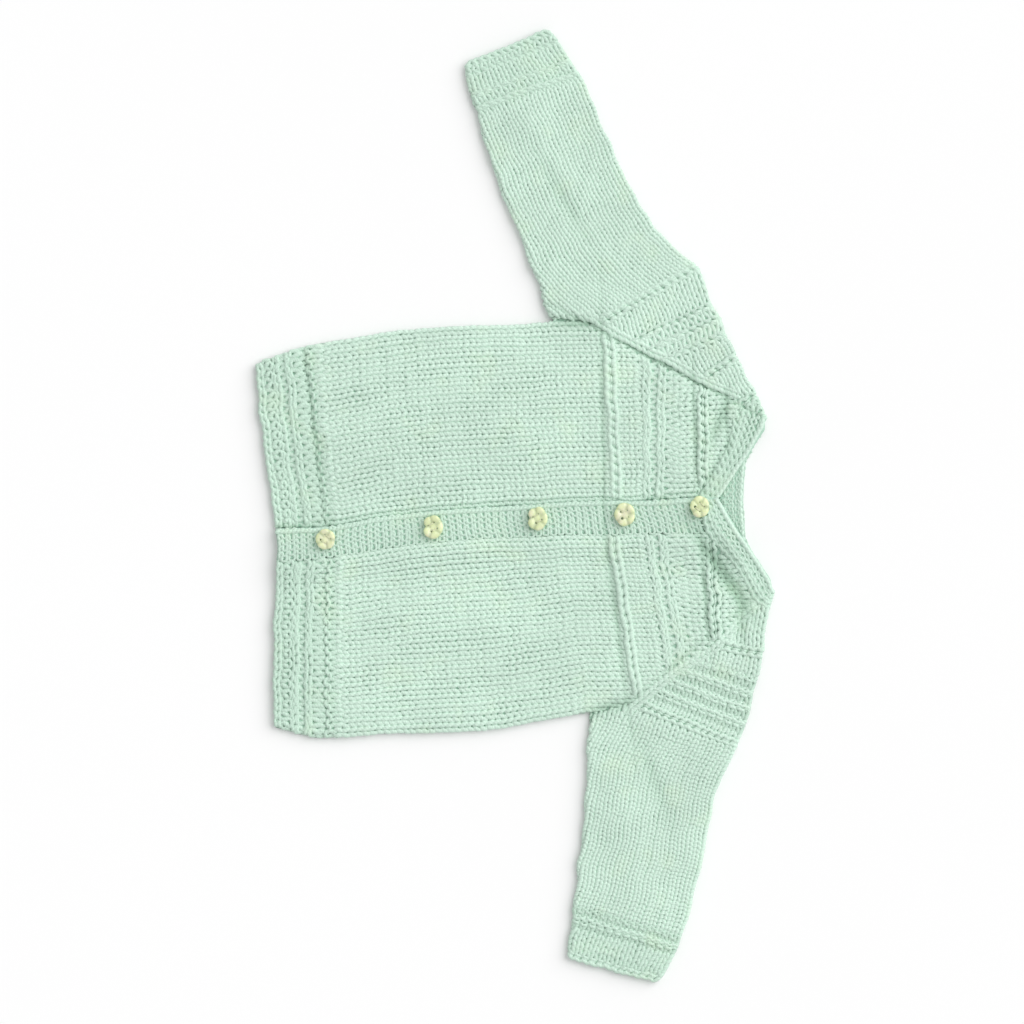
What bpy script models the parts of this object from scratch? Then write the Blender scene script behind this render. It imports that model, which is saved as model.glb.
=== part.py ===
"""Hand-knitted raglan baby cardigan, laid flat with its fronts buttoned over its back.

X runs from the wearer's right to the wearer's left, Y from the hem to the neck and Z up from the
surface the cardigan rests on. Plan tables are in millimetres, and courses are rows of knitting
counted from the hem or from the cuff.
"""

import math

import bmesh
import bpy
import numpy as np

MM = 0.001

# Cloth: wall, gap between pieces, and the heights that follow from them.
WALL = 2.0
GAP = 0.3
HALF = WALL / 2
LAYER = WALL + GAP
Z_BACK = HALF
Z_FRONT = Z_BACK + LAYER
Z_OVER = Z_FRONT + LAYER
Z_BETWEEN = (Z_BACK + Z_FRONT) / 2

# Edges: a free edge curls through a quarter circle, a sleeve folds over through a half circle.
CURL_RADIUS = HALF
CURL_STEPS = 2
HALF_CURL_FLATTER = 0.22
FOLD_RADIUS = (Z_FRONT - Z_BACK) / 2
FOLD_STEPS = 4
INSIDE_BEND = 0.75
SEAM_INSET = 0.26
NECK_INSET = 0.4
RISE_LENGTH = 18.0

# Course numbers that the pieces share.
UNDERARM = 51.0
SLEEVE_UNDERARM = 54.5
YOKE = 58.0
NECK = 80.0
CURL_FADE = 2.0

# Wearer's right half of the body. Columns: course, side x, y, front edge x, y, sag of the row.
BODY_RIGHT = (
    (0.0, -78.0, -143.0, 13.0, -131.0, 1.0),
    (10.0, -88.5, -114.0, 12.0, -105.5, 1.0),
    (22.0, -94.5, -73.5, 5.0, -66.5, 0.5),
    (34.0, -98.5, -33.5, 1.5, -27.0, 0.5),
    (46.0, -100.0, 6.5, -0.5, 12.5, 0.0),
    (51.0, -100.8, 22.5, -2.0, 28.5, 0.0),
    (58.0, -98.5, 45.5, -2.5, 51.5, 0.0),
)
# Wearer's left half of the body, with the same columns.
BODY_LEFT = (
    (0.0, 122.5, -132.5, 30.5, -131.0, 1.0),
    (10.0, 128.0, -105.5, 28.5, -104.5, 0.5),
    (22.0, 125.5, -63.0, 23.0, -65.5, 0.0),
    (34.0, 123.5, -20.0, 19.0, -26.5, 0.0),
    (46.0, 117.5, 22.5, 17.0, 12.5, 0.0),
    (51.0, 113.7, 41.0, 16.0, 28.5, 0.0),
    (58.0, 107.0, 65.5, 16.0, 51.0, 0.0),
)
# Yokes. Columns: course, raglan x, y, front or neck edge x, y, shoulder x, y.
YOKE_RIGHT = (
    (58.0, -98.5, 45.5, -2.5, 51.5, -131.0, 100.5),
    (63.0, -88.5, 62.5, -2.5, 65.5, -111.5, 108.5),
    (66.0, -83.5, 72.0, -3.0, 72.5, -102.5, 113.0),
    (69.0, -79.0, 81.5, -3.5, 80.5, -92.5, 116.5),
    (75.0, -68.5, 100.0, -5.0, 100.3, -83.0, 122.0),
    (76.5, -65.0, 106.5, -13.0, 105.5, -77.5, 125.0),
    (78.0, -62.0, 112.5, -21.0, 110.5, -72.0, 127.0),
    (79.2, -60.0, 117.5, -29.5, 114.5, -68.0, 129.0),
    (80.0, -58.5, 121.0, -35.5, 116.5, -65.0, 131.0),
)
YOKE_LEFT = (
    (58.0, 107.0, 65.5, 16.0, 51.0, 131.5, 122.5),
    (60.0, 103.5, 69.5, 16.0, 57.0, 125.0, 125.5),
    (63.0, 97.5, 77.5, 16.0, 65.5, 116.0, 128.0),
    (66.0, 92.0, 84.5, 16.0, 72.5, 107.5, 130.5),
    (69.0, 86.0, 92.0, 15.5, 80.0, 99.5, 132.5),
    (75.0, 76.5, 108.0, 15.5, 104.5, 82.0, 136.0),
    (76.5, 70.5, 114.5, 22.5, 110.0, 75.5, 137.0),
    (78.0, 63.5, 120.5, 28.5, 115.5, 68.5, 138.0),
    (79.2, 57.5, 126.0, 34.5, 121.0, 62.5, 138.5),
    (80.0, 52.5, 130.5, 39.5, 124.5, 58.0, 139.0),
)
# Sleeves below the yoke. Columns: course from the cuff, inner seam x, y, outer fold x, y.
SLEEVE_RIGHT = (
    (0.0, -243.0, -29.0, -263.0, 19.0),
    (9.0, -218.0, -22.0, -238.0, 35.0),
    (20.0, -189.0, -13.5, -211.5, 47.0),
    (32.0, -158.0, -1.5, -184.0, 59.0),
    (44.0, -125.5, 11.5, -158.5, 73.0),
    (54.5, -100.8, 22.5, -137.0, 93.0),
    (58.0, -98.5, 45.5, -131.0, 100.5),
)
SLEEVE_LEFT = (
    (0.0, 248.5, 28.0, 262.5, 80.0),
    (9.0, 221.5, 32.0, 238.0, 91.5),
    (20.0, 195.5, 35.0, 213.5, 98.5),
    (32.0, 167.0, 38.5, 187.5, 104.5),
    (44.0, 139.0, 39.5, 160.5, 109.5),
    (54.5, 113.7, 41.0, 139.0, 119.0),
    (58.0, 107.0, 65.5, 131.5, 122.5),
)
# Neckband, from its hidden right end round the back to its left end. Columns: seam x, y, free
# edge x, y. The first strip lies on the right front and the last on the left front.
NECK_FRONT_RIGHT = (
    (15.0, 88.5, 15.5, 98.0),
    (-5.0, 100.3, -0.8, 109.2),
    (-13.0, 105.5, -8.0, 114.8),
    (-21.0, 110.5, -15.3, 119.8),
    (-29.5, 114.5, -22.3, 124.6),
    (-35.5, 116.5, -27.0, 128.0),
    (-47.0, 118.7, -36.0, 133.5),
    (-58.5, 121.0, -41.5, 137.5),
)
NECK_SHOULDER_RIGHT = (-65.0, 131.0, -47.0, 139.0)
NECK_BACK = (
    (-58.5, 121.0, -42.0, 137.5),
    (-41.5, 117.0, -32.0, 131.0),
    (-25.0, 113.5, -23.5, 127.0),
    (-3.0, 112.0, -3.0, 125.5),
    (19.0, 114.0, 18.0, 127.0),
    (36.5, 120.0, 31.0, 133.0),
    (52.5, 130.5, 41.0, 140.3),
)
NECK_SHOULDER_LEFT = (58.0, 139.0, 46.5, 143.0)
NECK_FRONT_LEFT = (
    (52.5, 130.5, 40.5, 140.5),
    (47.0, 128.1, 34.3, 136.4),
    (39.5, 124.5, 30.5, 134.0),
    (34.5, 121.0, 27.0, 131.3),
    (28.5, 115.5, 19.8, 126.8),
    (22.5, 110.0, 13.2, 122.2),
    (15.5, 104.5, 6.5, 118.3),
    (5.0, 102.0, -0.5, 114.0),
    (-4.3, 100.0, -4.5, 111.0),
)
NECK_PARTS = 2
SHOULDER_INSET = 0.7
NECK_UNDERLAP_X = -6.0
# Across the neckband. Columns: share of its width from the seam, ridge height.
NECK_RIDGES = (
    (0.0, 0.0),
    (0.15, 0.45),
    (0.27, 0.0),
    (0.38, 0.45),
    (0.49, 0.0),
    (0.60, 0.45),
    (0.72, 0.0),
    (0.85, 0.6),
    (1.0, 0.1),
)

# Raised purl rows. Columns: course, half width of its flat top, half width of its foot, height.
HEM_ROWS = ((4.0, 0.0, 1.3, 0.45), (7.0, 0.0, 1.3, 0.45), (10.0, 0.0, 1.3, 0.5))
CUFF_ROWS = ((3.0, 0.0, 1.3, 0.35), (9.0, 0.0, 1.3, 0.45))
YOKE_ROWS = (
    (58.0, 0.45, 1.2, 1.0),
    (63.0, 0.0, 1.2, 0.3),
    (66.0, 0.0, 1.2, 0.45),
    (69.0, 0.0, 1.2, 0.45),
    (75.0, 0.35, 0.8, 0.9),
)
BODY_COURSES = (0.0, 16.0, 22.0, 28.0, 34.0, 40.0, 45.0, 49.0, 50.0, 51.0, 58.0)
SLEEVE_COURSES = (0.0, 1.5, 6.0, 14.0, 20.0, 26.0, 32.0, 38.0, 44.0, 49.0, 52.5, 53.5, 54.5,
                  58.0)
NECK_COURSES = (72.0, 76.5, 78.0, 79.2, 80.0)
BACK_COURSES = (0.0, 5.0, 10.0, 16.0, 22.0, 28.0, 34.0, 40.0, 46.0, 49.0, 50.0, 51.0, 54.5,
                58.0, 60.0, 63.0, 66.0, 69.0, 72.0, 75.0, 76.5, 78.0, 79.2, 79.75)
FRONT_CELLS = 8
SLEEVE_CELLS = 6
BACK_CELLS = 12
BACK_HEM_SAG = -8.0

# Front bands.
BAND_BOTTOM = -131.0
BAND_TOP_COURSE = 75.0
BAND_SAMPLES = 151
BAND_TOP_RIGHT = 100.0
BAND_TOP_LEFT = 104.5
RIBS = 28
RIB_HEIGHT = 0.5
# Over one rib. Columns: share of its pitch, share of its height.
RIB_PROFILE = ((0.0, 0.0), (0.28, 1.0), (0.72, 1.0))
BAND_COLUMNS = (0.0, 0.3, 0.7, 1.0)
UNDERLAP_BACK_OFF = 1.0
UNDERLAP_TOP_LEFT = 88.5
UNDERLAP_ROWS = 24
UNDERLAP_INSET = 0.4

# Soft raised places in the top layer. Columns: x, y, direction in degrees, half length, half
# width, height.
LIFTS = (
    (-112.0, 62.0, 118.0, 34.0, 9.0, 1.3),
    (-134.0, 52.0, 60.0, 26.0, 10.0, 0.9),
    (-196.0, 14.0, 24.0, 40.0, 12.0, 0.8),
    (196.0, 66.0, 10.0, 42.0, 12.0, 0.8),
    (122.0, 88.0, 75.0, 26.0, 9.0, 1.2),
    (60.0, 108.0, 12.0, 24.0, 8.0, 1.5),
    (-56.0, 92.0, 60.0, 22.0, 9.0, 0.9),
    (-46.0, -40.0, 80.0, 60.0, 20.0, 0.8),
    (74.0, -30.0, 95.0, 66.0, 22.0, 0.9),
    (60.0, 82.0, 10.0, 26.0, 12.0, 0.7),
)

# Buttons, hem to neck. Columns: centre x, y, turn in degrees.
BUTTONS = (
    (18.5, -104.0, 10.0),
    (11.5, -45.0, 40.0),
    (7.0, 12.5, 25.0),
    (5.0, 60.5, 55.0),
    (0.5, 102.0, 5.0),
)
BUTTON_RADIUS = 6.3
BUTTON_THICKNESS = 2.4
PETALS = 5
PETAL_DEPTH = 0.7
PETAL_CREASE = 0.45
BUTTON_SPOKES = 30
# Up the button's profile. Columns: share of the radius, share of the height.
BUTTON_PROFILE = ((0.90, 0.0), (1.0, 0.22), (1.0, 0.52), (0.90, 0.80), (0.62, 1.0), (0.30, 0.92))
HOLES = 4
HOLE_RADIUS = 0.65
HOLE_CIRCLE = 2.0
HOLE_SIDES = 10

MINT = (200, 225, 209)
MINT_BAND = (196, 222, 205)
CREAM = (218, 227, 182)
KNIT_ROUGHNESS = 0.92
BUTTON_ROUGHNESS = 0.35


def clear_scene():
    for item in list(bpy.data.objects):
        bpy.data.objects.remove(item, do_unlink=True)


def material(name, colour, roughness):
    """Principled material of one 0-255 display colour."""
    made = bpy.data.materials.new(name)
    made.use_nodes = True
    shader = made.node_tree.nodes["Principled BSDF"]
    linear = [((c / 255 + 0.055) / 1.055) ** 2.4 for c in colour]
    shader.inputs["Base Color"].default_value = (*linear, 1.0)
    shader.inputs["Roughness"].default_value = roughness
    shader.inputs["Metallic"].default_value = 0.0
    made.diffuse_color = (*linear, 1.0)
    return made


def smooth(t):
    t = np.clip(t, 0.0, 1.0)
    return t * t * (3 - 2 * t)


def eased(x, xs, ys):
    """Shape-keeping cubic through (xs, ys), with the values ys as columns."""
    x, xs, ys = np.asarray(x, float), np.asarray(xs, float), np.asarray(ys, float)
    step = np.diff(xs)[:, None]
    slope = np.diff(ys, axis=0) / step
    before, after = slope[:-1], slope[1:]
    same = before * after > 0
    weight_a = 2 * step[1:] + step[:-1]
    weight_b = step[1:] + 2 * step[:-1]
    safe_before = np.where(same, before, 1.0)
    safe_after = np.where(same, after, 1.0)
    inner = (weight_a + weight_b) / (weight_a / safe_before + weight_b / safe_after)
    tangent = np.vstack([slope[:1], np.where(same, inner, 0.0), slope[-1:]])
    i = np.clip(np.searchsorted(xs, x, side="right") - 1, 0, len(xs) - 2)
    width = step[i]
    t = ((x - xs[i]) / width[:, 0])[:, None]
    start = (1 + 2 * t) * (1 - t) ** 2 * ys[i] + t * (1 - t) ** 2 * width * tangent[i]
    end = t * t * (3 - 2 * t) * ys[i + 1] + t * t * (t - 1) * width * tangent[i + 1]
    return start + end


def straight(x, xs, ys):
    """Straight lines through (xs, ys), with the values ys as columns."""
    ys = np.asarray(ys, float)
    return np.stack([np.interp(x, xs, column) for column in ys.T], axis=-1)


def split(table):
    table = np.array(table)
    return table[:, 0], table[:, 1:]


def edge_points(courses, table, yoke, underarm, yoke_columns):
    """Rows of two edge points: eased up to the underarm, then straight from row to row."""
    low, low_rows = split(table)
    high, high_rows = split(yoke)
    fair = eased(np.minimum(courses, underarm), low, low_rows[:, 0:4])
    join = straight(courses, low, low_rows[:, 0:4])
    above = straight(courses, high, high_rows[:, yoke_columns])
    below = np.where((courses < underarm)[:, None], fair, join)
    points = np.where((courses < YOKE)[:, None], below, above)
    return points[:, 0:2], points[:, 2:4]


def body_edges(courses, body, yoke):
    """Side or raglan points and front or neck edge points at these courses."""
    return edge_points(courses, body, yoke, UNDERARM, [0, 1, 2, 3])


def row_sag(courses, body):
    low, low_rows = split(body)
    return np.interp(courses, low, low_rows[:, 4])


def sleeve_edges(courses, sleeve, yoke):
    """Inner and outer edge points of a sleeve at these courses."""
    return edge_points(courses, sleeve, yoke, SLEEVE_UNDERARM, [0, 1, 4, 5])


def band_side(y, body, yoke):
    """X of a front's centre edge at these heights."""
    courses = np.linspace(0.0, BAND_TOP_COURSE, BAND_SAMPLES)
    centre = body_edges(courses, body, yoke)[1]
    return np.interp(y, centre[:, 1], centre[:, 0])


def rise(x, y):
    """How far the left front climbs towards the overlapping band."""
    beside = x - band_side(y, BODY_LEFT, YOKE_LEFT)
    return LAYER * (1 - smooth(beside / RISE_LENGTH))


def lift(x, y):
    """Height of the soft creases over a plan point."""
    total = np.zeros_like(x)
    for cx, cy, turn, length, width, height in LIFTS:
        c, s = math.cos(math.radians(turn)), math.sin(math.radians(turn))
        along = ((x - cx) * c + (y - cy) * s) / length
        across = ((y - cy) * c - (x - cx) * s) / width
        total += height * np.exp(-along ** 2 - across ** 2)
    return total


def raise_top(mid):
    """Lifts the middle surface by the share of it that lies in the top layer."""
    share = np.clip((mid[..., 2] - Z_BACK) / LAYER, 0.0, 1.0)
    mid[..., 2] += share * lift(mid[..., 0], mid[..., 1])


def row_height(course, rows):
    height = np.zeros_like(course)
    for centre, flat, foot, top in rows:
        away = np.abs(course - centre)
        height = np.maximum(height, top * np.clip((foot - away) / (foot - flat), 0.0, 1.0))
    return height


def with_rows(courses, rows):
    """These courses and the ones where a raised row starts, peaks and ends."""
    marks = list(courses)
    for centre, flat, foot, _ in rows:
        marks += [centre - foot, centre + foot]
        marks += [centre - flat, centre + flat] if flat else [centre]
    marks = sorted(set(round(mark, 3) for mark in marks))
    kept = [marks[0]]
    for mark in marks[1:]:
        if mark - kept[-1] > 0.35 or mark == marks[-1]:
            kept.append(mark)
    return np.array(kept)


def curl(amount):
    """Points of a curling edge: advance, drop and lean in turns of a quarter circle."""
    steps = np.arange(1, CURL_STEPS + 1) / CURL_STEPS
    if amount < 0.02:
        advance = CURL_RADIUS * math.pi / 2 * steps
        return advance, np.zeros(CURL_STEPS), np.zeros(CURL_STEPS)
    radius = CURL_RADIUS / amount
    lean = steps * amount * math.pi / 2
    drop = radius * (1 - np.cos(lean)) * (1 - HALF_CURL_FLATTER * math.sin(math.pi * amount))
    return radius * np.sin(lean), drop, lean


def curl_amount(course, underarm):
    return float(1 - smooth((course - underarm + CURL_FADE) / CURL_FADE))


def skin(name, look, mid, normal, ridge):
    """Closed wall round a grid of middle points: right side, wrong side and rim."""
    rows, columns = mid.shape[:2]
    bend = np.abs(normal[..., 2:3])
    inside = HALF * (INSIDE_BEND + (1 - INSIDE_BEND) * np.where(bend > 0.999, 1.0, 0.0))
    facing = np.clip(normal[..., 2:3], 0.0, 1.0)
    outer = mid + normal * (HALF + ridge[..., None] * facing)
    inner = mid - normal * inside
    count = rows * columns
    points = np.concatenate([outer.reshape(-1, 3), inner.reshape(-1, 3)]) * MM
    grid = np.arange(count).reshape(rows, columns)
    faces = []
    for i in range(rows - 1):
        for j in range(columns - 1):
            a, b, c, d = grid[i, j], grid[i, j + 1], grid[i + 1, j + 1], grid[i + 1, j]
            faces += [(a, b, c), (a, c, d)]
            faces += [(count + a, count + c, count + b), (count + a, count + d, count + c)]
    rim = list(grid[0, :]) + list(grid[1:, -1]) + list(grid[-1, -2::-1]) + list(grid[-2:0:-1, 0])
    for p, q in zip(rim, rim[1:] + rim[:1]):
        faces += [(q, p, count + p), (q, count + p, count + q)]
    return solid(name, look, points, faces)


def solid(name, look, points, faces):
    """Mesh object with its faces turned outwards and its curves shaded smooth."""
    mesh = bpy.data.meshes.new(name)
    mesh.from_pydata([tuple(p) for p in points], [], [tuple(int(v) for v in f) for f in faces])
    work = bmesh.new()
    work.from_mesh(mesh)
    bmesh.ops.recalc_face_normals(work, faces=work.faces)
    if work.calc_volume(signed=True) < 0:
        bmesh.ops.reverse_faces(work, faces=work.faces)
    work.to_mesh(mesh)
    work.free()
    mesh.shade_smooth()
    mesh.materials.append(look)
    made = bpy.data.objects.new(name, mesh)
    bpy.context.scene.collection.objects.link(made)
    return made


def place(origin, direction, along, height):
    """Points at distances along a plan direction and at these heights."""
    flat = origin[None, :] + along[:, None] * direction[None, :]
    return np.column_stack([flat, height])


def front_row(course, side, centre, sag):
    """One row of a front, from its centre edge to the rim of its curled side."""
    span = side - centre
    width = np.hypot(*span)
    direction = span / width
    amount = curl_amount(course, UNDERARM)
    advance, drop, lean = curl(amount)
    reach = advance[-1] + HALF * math.sin(lean[-1])
    end = width - SEAM_INSET * (1 - amount) - reach
    share = np.linspace(0.0, 1.0, FRONT_CELLS + 1)
    along = np.concatenate([SEAM_INSET + share * (end - SEAM_INSET), end + advance])
    height = np.concatenate([np.full(FRONT_CELLS + 1, Z_FRONT), Z_FRONT - drop])
    row = place(centre, direction, along, height)
    row[:, 1] -= sag * 4 * np.clip(along / width, 0, 1) * (1 - np.clip(along / width, 0, 1))
    lean = np.concatenate([np.zeros(FRONT_CELLS + 1), lean])
    normal = np.column_stack([np.outer(np.sin(lean), direction), np.cos(lean)])
    return row, normal


def front(name, look, body, yoke, climbs):
    """Front from the hem to the neck, its side curled over and its raglan edge straight."""
    courses = with_rows(BODY_COURSES + NECK_COURSES, HEM_ROWS + YOKE_ROWS)
    side, centre = body_edges(courses, body, yoke)
    sag = row_sag(courses, body)
    built = [front_row(*row) for row in zip(courses, side, centre, sag)]
    mid = np.array([row for row, _ in built])
    normal = np.array([turned for _, turned in built])
    if climbs:
        mid[..., 2] += rise(mid[..., 0], mid[..., 1])
    raise_top(mid)
    height = row_height(courses, HEM_ROWS + YOKE_ROWS)
    ridge = np.repeat(height[:, None], mid.shape[1], axis=1)
    ridge[:, 0] = 0.0
    return skin(name, look, mid, normal, ridge)


def back_neck(share):
    """Neck edge of the back at shares of the way from its right raglan to its left."""
    table = np.array(NECK_BACK)[:, 0:2]
    start, span = table[0], table[-1] - table[0]
    where = (table - start) @ span / (span @ span)
    return straight(share, where, table)


def back_row(course, right, left):
    """One row of the back, from the rim of its right edge to the rim of its left edge."""
    span = left - right
    width = np.hypot(*span)
    direction = span / width
    amount = curl_amount(course, UNDERARM)
    advance, climb, lean = curl(amount)
    start = SEAM_INSET * (1 - amount) + advance[-1] + HALF * math.sin(lean[-1])
    share = np.linspace(0.0, 1.0, BACK_CELLS + 1)
    flat = start + share * (width - 2 * start)
    along = np.concatenate([start - advance[::-1], flat, width - start + advance])
    height = np.full(len(along), Z_BACK)
    height[:CURL_STEPS] += climb[::-1]
    height[-CURL_STEPS:] += climb
    row = place(right, direction, along, height)
    part = np.clip(along / width, 0.0, 1.0)
    row[:, 1] -= BACK_HEM_SAG * 4 * part * (1 - part) * max(0.0, 1 - course / UNDERARM)
    blend = smooth((course - YOKE) / (NECK - YOKE))
    dip = back_neck(part) - (back_neck(np.array([0.0])) * (1 - part[:, None])
                             + back_neck(np.array([1.0])) * part[:, None])
    row[:, 0:2] += blend * dip
    tilt = np.concatenate([-lean[::-1], np.zeros(BACK_CELLS + 1), lean])
    normal = np.column_stack([np.outer(np.sin(tilt), direction), -np.cos(tilt)])
    return row, normal


def back(name, look):
    courses = np.array(BACK_COURSES)
    right = body_edges(courses, BODY_RIGHT, YOKE_RIGHT)[0]
    left = body_edges(courses, BODY_LEFT, YOKE_LEFT)[0]
    built = [back_row(*row) for row in zip(courses, right, left)]
    mid = np.array([row for row, _ in built])
    normal = np.array([turned for _, turned in built])
    return skin(name, look, mid, normal, np.zeros(mid.shape[:2]))


def sleeve_row(course, inner, outer):
    """One flattened ring of a sleeve: inner rim, top, outer fold, underside, inner rim."""
    span = outer - inner
    width = np.hypot(*span)
    direction = span / width
    amount = curl_amount(course, SLEEVE_UNDERARM)
    advance, drop, lean = curl(amount)
    start = SEAM_INSET * (1 - amount) + advance[-1] + HALF * math.sin(lean[-1])
    end = width - HALF - FOLD_RADIUS
    flat = np.linspace(start, end, SLEEVE_CELLS + 1)
    bend = np.arange(1, FOLD_STEPS) / FOLD_STEPS * math.pi
    ones = np.ones(SLEEVE_CELLS + 1)
    along = np.concatenate([start - advance[::-1], flat, end + FOLD_RADIUS * np.sin(bend),
                            flat[::-1], start - advance])
    height = np.concatenate([Z_FRONT - drop[::-1], Z_FRONT * ones,
                             Z_BETWEEN + FOLD_RADIUS * np.cos(bend), Z_BACK * ones,
                             Z_BACK + drop])
    tilt = np.concatenate([-lean[::-1], 0 * ones, bend, math.pi * ones, math.pi + lean])
    normal = np.column_stack([np.outer(np.sin(tilt), direction), np.cos(tilt)])
    return place(inner, direction, along, height), normal


def sleeve(name, look, table, yoke, rows):
    courses = with_rows(SLEEVE_COURSES + NECK_COURSES, CUFF_ROWS + rows)
    inner, outer = sleeve_edges(courses, table, yoke)
    built = [sleeve_row(*row) for row in zip(courses, inner, outer)]
    mid = np.array([row for row, _ in built])
    normal = np.array([turned for _, turned in built])
    raise_top(mid)
    height = row_height(courses, CUFF_ROWS + rows)
    ridge = np.repeat(height[:, None], mid.shape[1], axis=1)
    return skin(name, look, mid, normal, ridge)


def band_grid(y_right, y_left, level, inset_right, inset_left):
    """Middle points of a front band between its two long edges."""
    right = np.column_stack([band_side(y_right, BODY_RIGHT, YOKE_RIGHT) + inset_right, y_right])
    left = np.column_stack([band_side(y_left, BODY_LEFT, YOKE_LEFT) - inset_left, y_left])
    share = np.array(BAND_COLUMNS)[None, :, None]
    plan = right[:, None, :] * (1 - share) + left[:, None, :] * share
    mid = np.concatenate([plan, np.full(plan.shape[:2] + (1,), level)], axis=-1)
    raise_top(mid)
    normal = np.zeros_like(mid)
    normal[..., 2] = 1.0
    return mid, normal


def buttonhole_band(name, look):
    """Top band, its ribs running across it."""
    cells = [(rib + at) / RIBS for rib in range(RIBS) for at, _ in RIB_PROFILE] + [1.0]
    heights = [RIB_HEIGHT * up for _ in range(RIBS) for _, up in RIB_PROFILE] + [0.0]
    cells, heights = np.array(cells), np.array(heights)
    y_right = BAND_BOTTOM + cells * (BAND_TOP_RIGHT - NECK_INSET - BAND_BOTTOM)
    y_left = BAND_BOTTOM + cells * (BAND_TOP_LEFT - NECK_INSET - BAND_BOTTOM)
    mid, normal = band_grid(y_right, y_left, Z_OVER, 0.0, SEAM_INSET)
    ridge = np.repeat(heights[:, None], len(BAND_COLUMNS), axis=1)
    return skin(name, look, mid, normal, ridge)


def button_band(name, look):
    """Hidden band under the ribbed one, kept plain."""
    cells = np.linspace(0.0, 1.0, UNDERLAP_ROWS)
    y_right = BAND_BOTTOM + cells * (BAND_TOP_RIGHT - NECK_INSET - BAND_BOTTOM)
    y_left = BAND_BOTTOM + cells * (UNDERLAP_TOP_LEFT - NECK_INSET - BAND_BOTTOM)
    mid, normal = band_grid(y_right, y_left, Z_FRONT, UNDERLAP_INSET, UNDERLAP_BACK_OFF)
    return skin(name, look, mid, normal, np.zeros(mid.shape[:2]))


def subdivide(rows, parts):
    rows = np.array(rows, float)
    marks = np.linspace(0, len(rows) - 1, (len(rows) - 1) * parts + 1)
    return straight(marks, np.arange(len(rows)), rows)


def shoulder_fold(row, start):
    """Half turn of the neckband about its shoulder line, from this angle."""
    seam, free = np.array(row[0:2]), np.array(row[2:4])
    along = (free - seam) / np.hypot(*(free - seam))
    outward = np.array([-along[1], along[0]])
    if outward[1] < 0:
        outward = -outward
    inward = outward * (HALF + FOLD_RADIUS)
    seam = seam + along * SHOULDER_INSET
    angles = np.linspace(0.0, math.pi, FOLD_STEPS + 1)
    made = []
    for angle in (angles if start == 0 else angles[::-1]):
        shift = outward * FOLD_RADIUS * math.sin(angle) - inward
        tilt = np.array([*(outward * math.sin(angle)), math.cos(angle)])
        height = Z_BETWEEN + FOLD_RADIUS * math.cos(angle)
        made.append((np.concatenate([seam + shift, free + shift]), height, tilt))
    return made


def neckband(name, look):
    """Strip round the neck, folded over at both shoulders, its ends lapping in front."""
    up, down = np.array([0.0, 0.0, 1.0]), np.array([0.0, 0.0, -1.0])
    rows = [(row, Z_FRONT, up) for row in subdivide(NECK_FRONT_RIGHT, NECK_PARTS)]
    rows += shoulder_fold(NECK_SHOULDER_RIGHT, 0)
    rows += [(row, Z_BACK, down) for row in subdivide(NECK_BACK, NECK_PARTS)]
    rows += shoulder_fold(NECK_SHOULDER_LEFT, 1)
    left_start = len(rows)
    rows += [(row, Z_FRONT, up) for row in subdivide(NECK_FRONT_LEFT, NECK_PARTS)]
    across = np.array(NECK_RIDGES)
    mid = np.zeros((len(rows), len(across), 3))
    normal = np.zeros_like(mid)
    ridge = np.zeros(mid.shape[:2])
    for i, (row, height, tilt) in enumerate(rows):
        seam, free = row[0:2], row[2:4]
        length = np.hypot(*(free - seam))
        share = NECK_INSET / length + across[:, 0] * (1 - NECK_INSET / length)
        mid[i, :, 0:2] = seam + share[:, None] * (free - seam)
        mid[i, :, 2] = height
        normal[i] = tilt
        hidden = i < left_start and tilt is up and seam[0] > NECK_UNDERLAP_X
        ridge[i] = 0.0 if hidden else across[:, 1]
    left = mid[left_start:]
    left[..., 2] += rise(left[..., 0], left[..., 1])
    raise_top(mid)
    return skin(name, look, mid, normal, ridge)


def button(name, look, x, y, turn):
    """Flower-shaped button, domed, creased between its petals, with four sewing holes."""
    spokes = np.arange(BUTTON_SPOKES) / BUTTON_SPOKES * math.tau
    petal = np.abs(np.cos(spokes * PETALS / 2)) ** 0.6
    bottom = Z_OVER + HALF + RIB_HEIGHT + GAP + lift(np.array([x]), np.array([y]))[0]
    rings = []
    for share, up in BUTTON_PROFILE:
        radius = BUTTON_RADIUS * share * (1 - PETAL_DEPTH / BUTTON_RADIUS * share * (1 - petal))
        height = BUTTON_THICKNESS * up - PETAL_CREASE * share * up * (1 - petal)
        ring = [radius * np.cos(spokes), radius * np.sin(spokes), bottom + height]
        rings.append(np.column_stack(ring))
    points = np.concatenate(rings + [[[0, 0, bottom]], [[0, 0, bottom + 0.9 * BUTTON_THICKNESS]]])
    low, high = len(points) - 2, len(points) - 1
    last = (len(rings) - 1) * BUTTON_SPOKES
    faces = []
    for k in range(BUTTON_SPOKES):
        n = (k + 1) % BUTTON_SPOKES
        faces += [(n, k, low), (last + k, last + n, high)]
        for ring in range(len(rings) - 1):
            a, b = ring * BUTTON_SPOKES + k, ring * BUTTON_SPOKES + n
            faces += [(a, b, b + BUTTON_SPOKES), (a, b + BUTTON_SPOKES, a + BUTTON_SPOKES)]
    made = solid(name, look, points * MM, faces)
    drill(made, bottom)
    made.location = (x * MM, y * MM, 0.0)
    made.rotation_euler = (0.0, 0.0, math.radians(turn))
    return made


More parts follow.
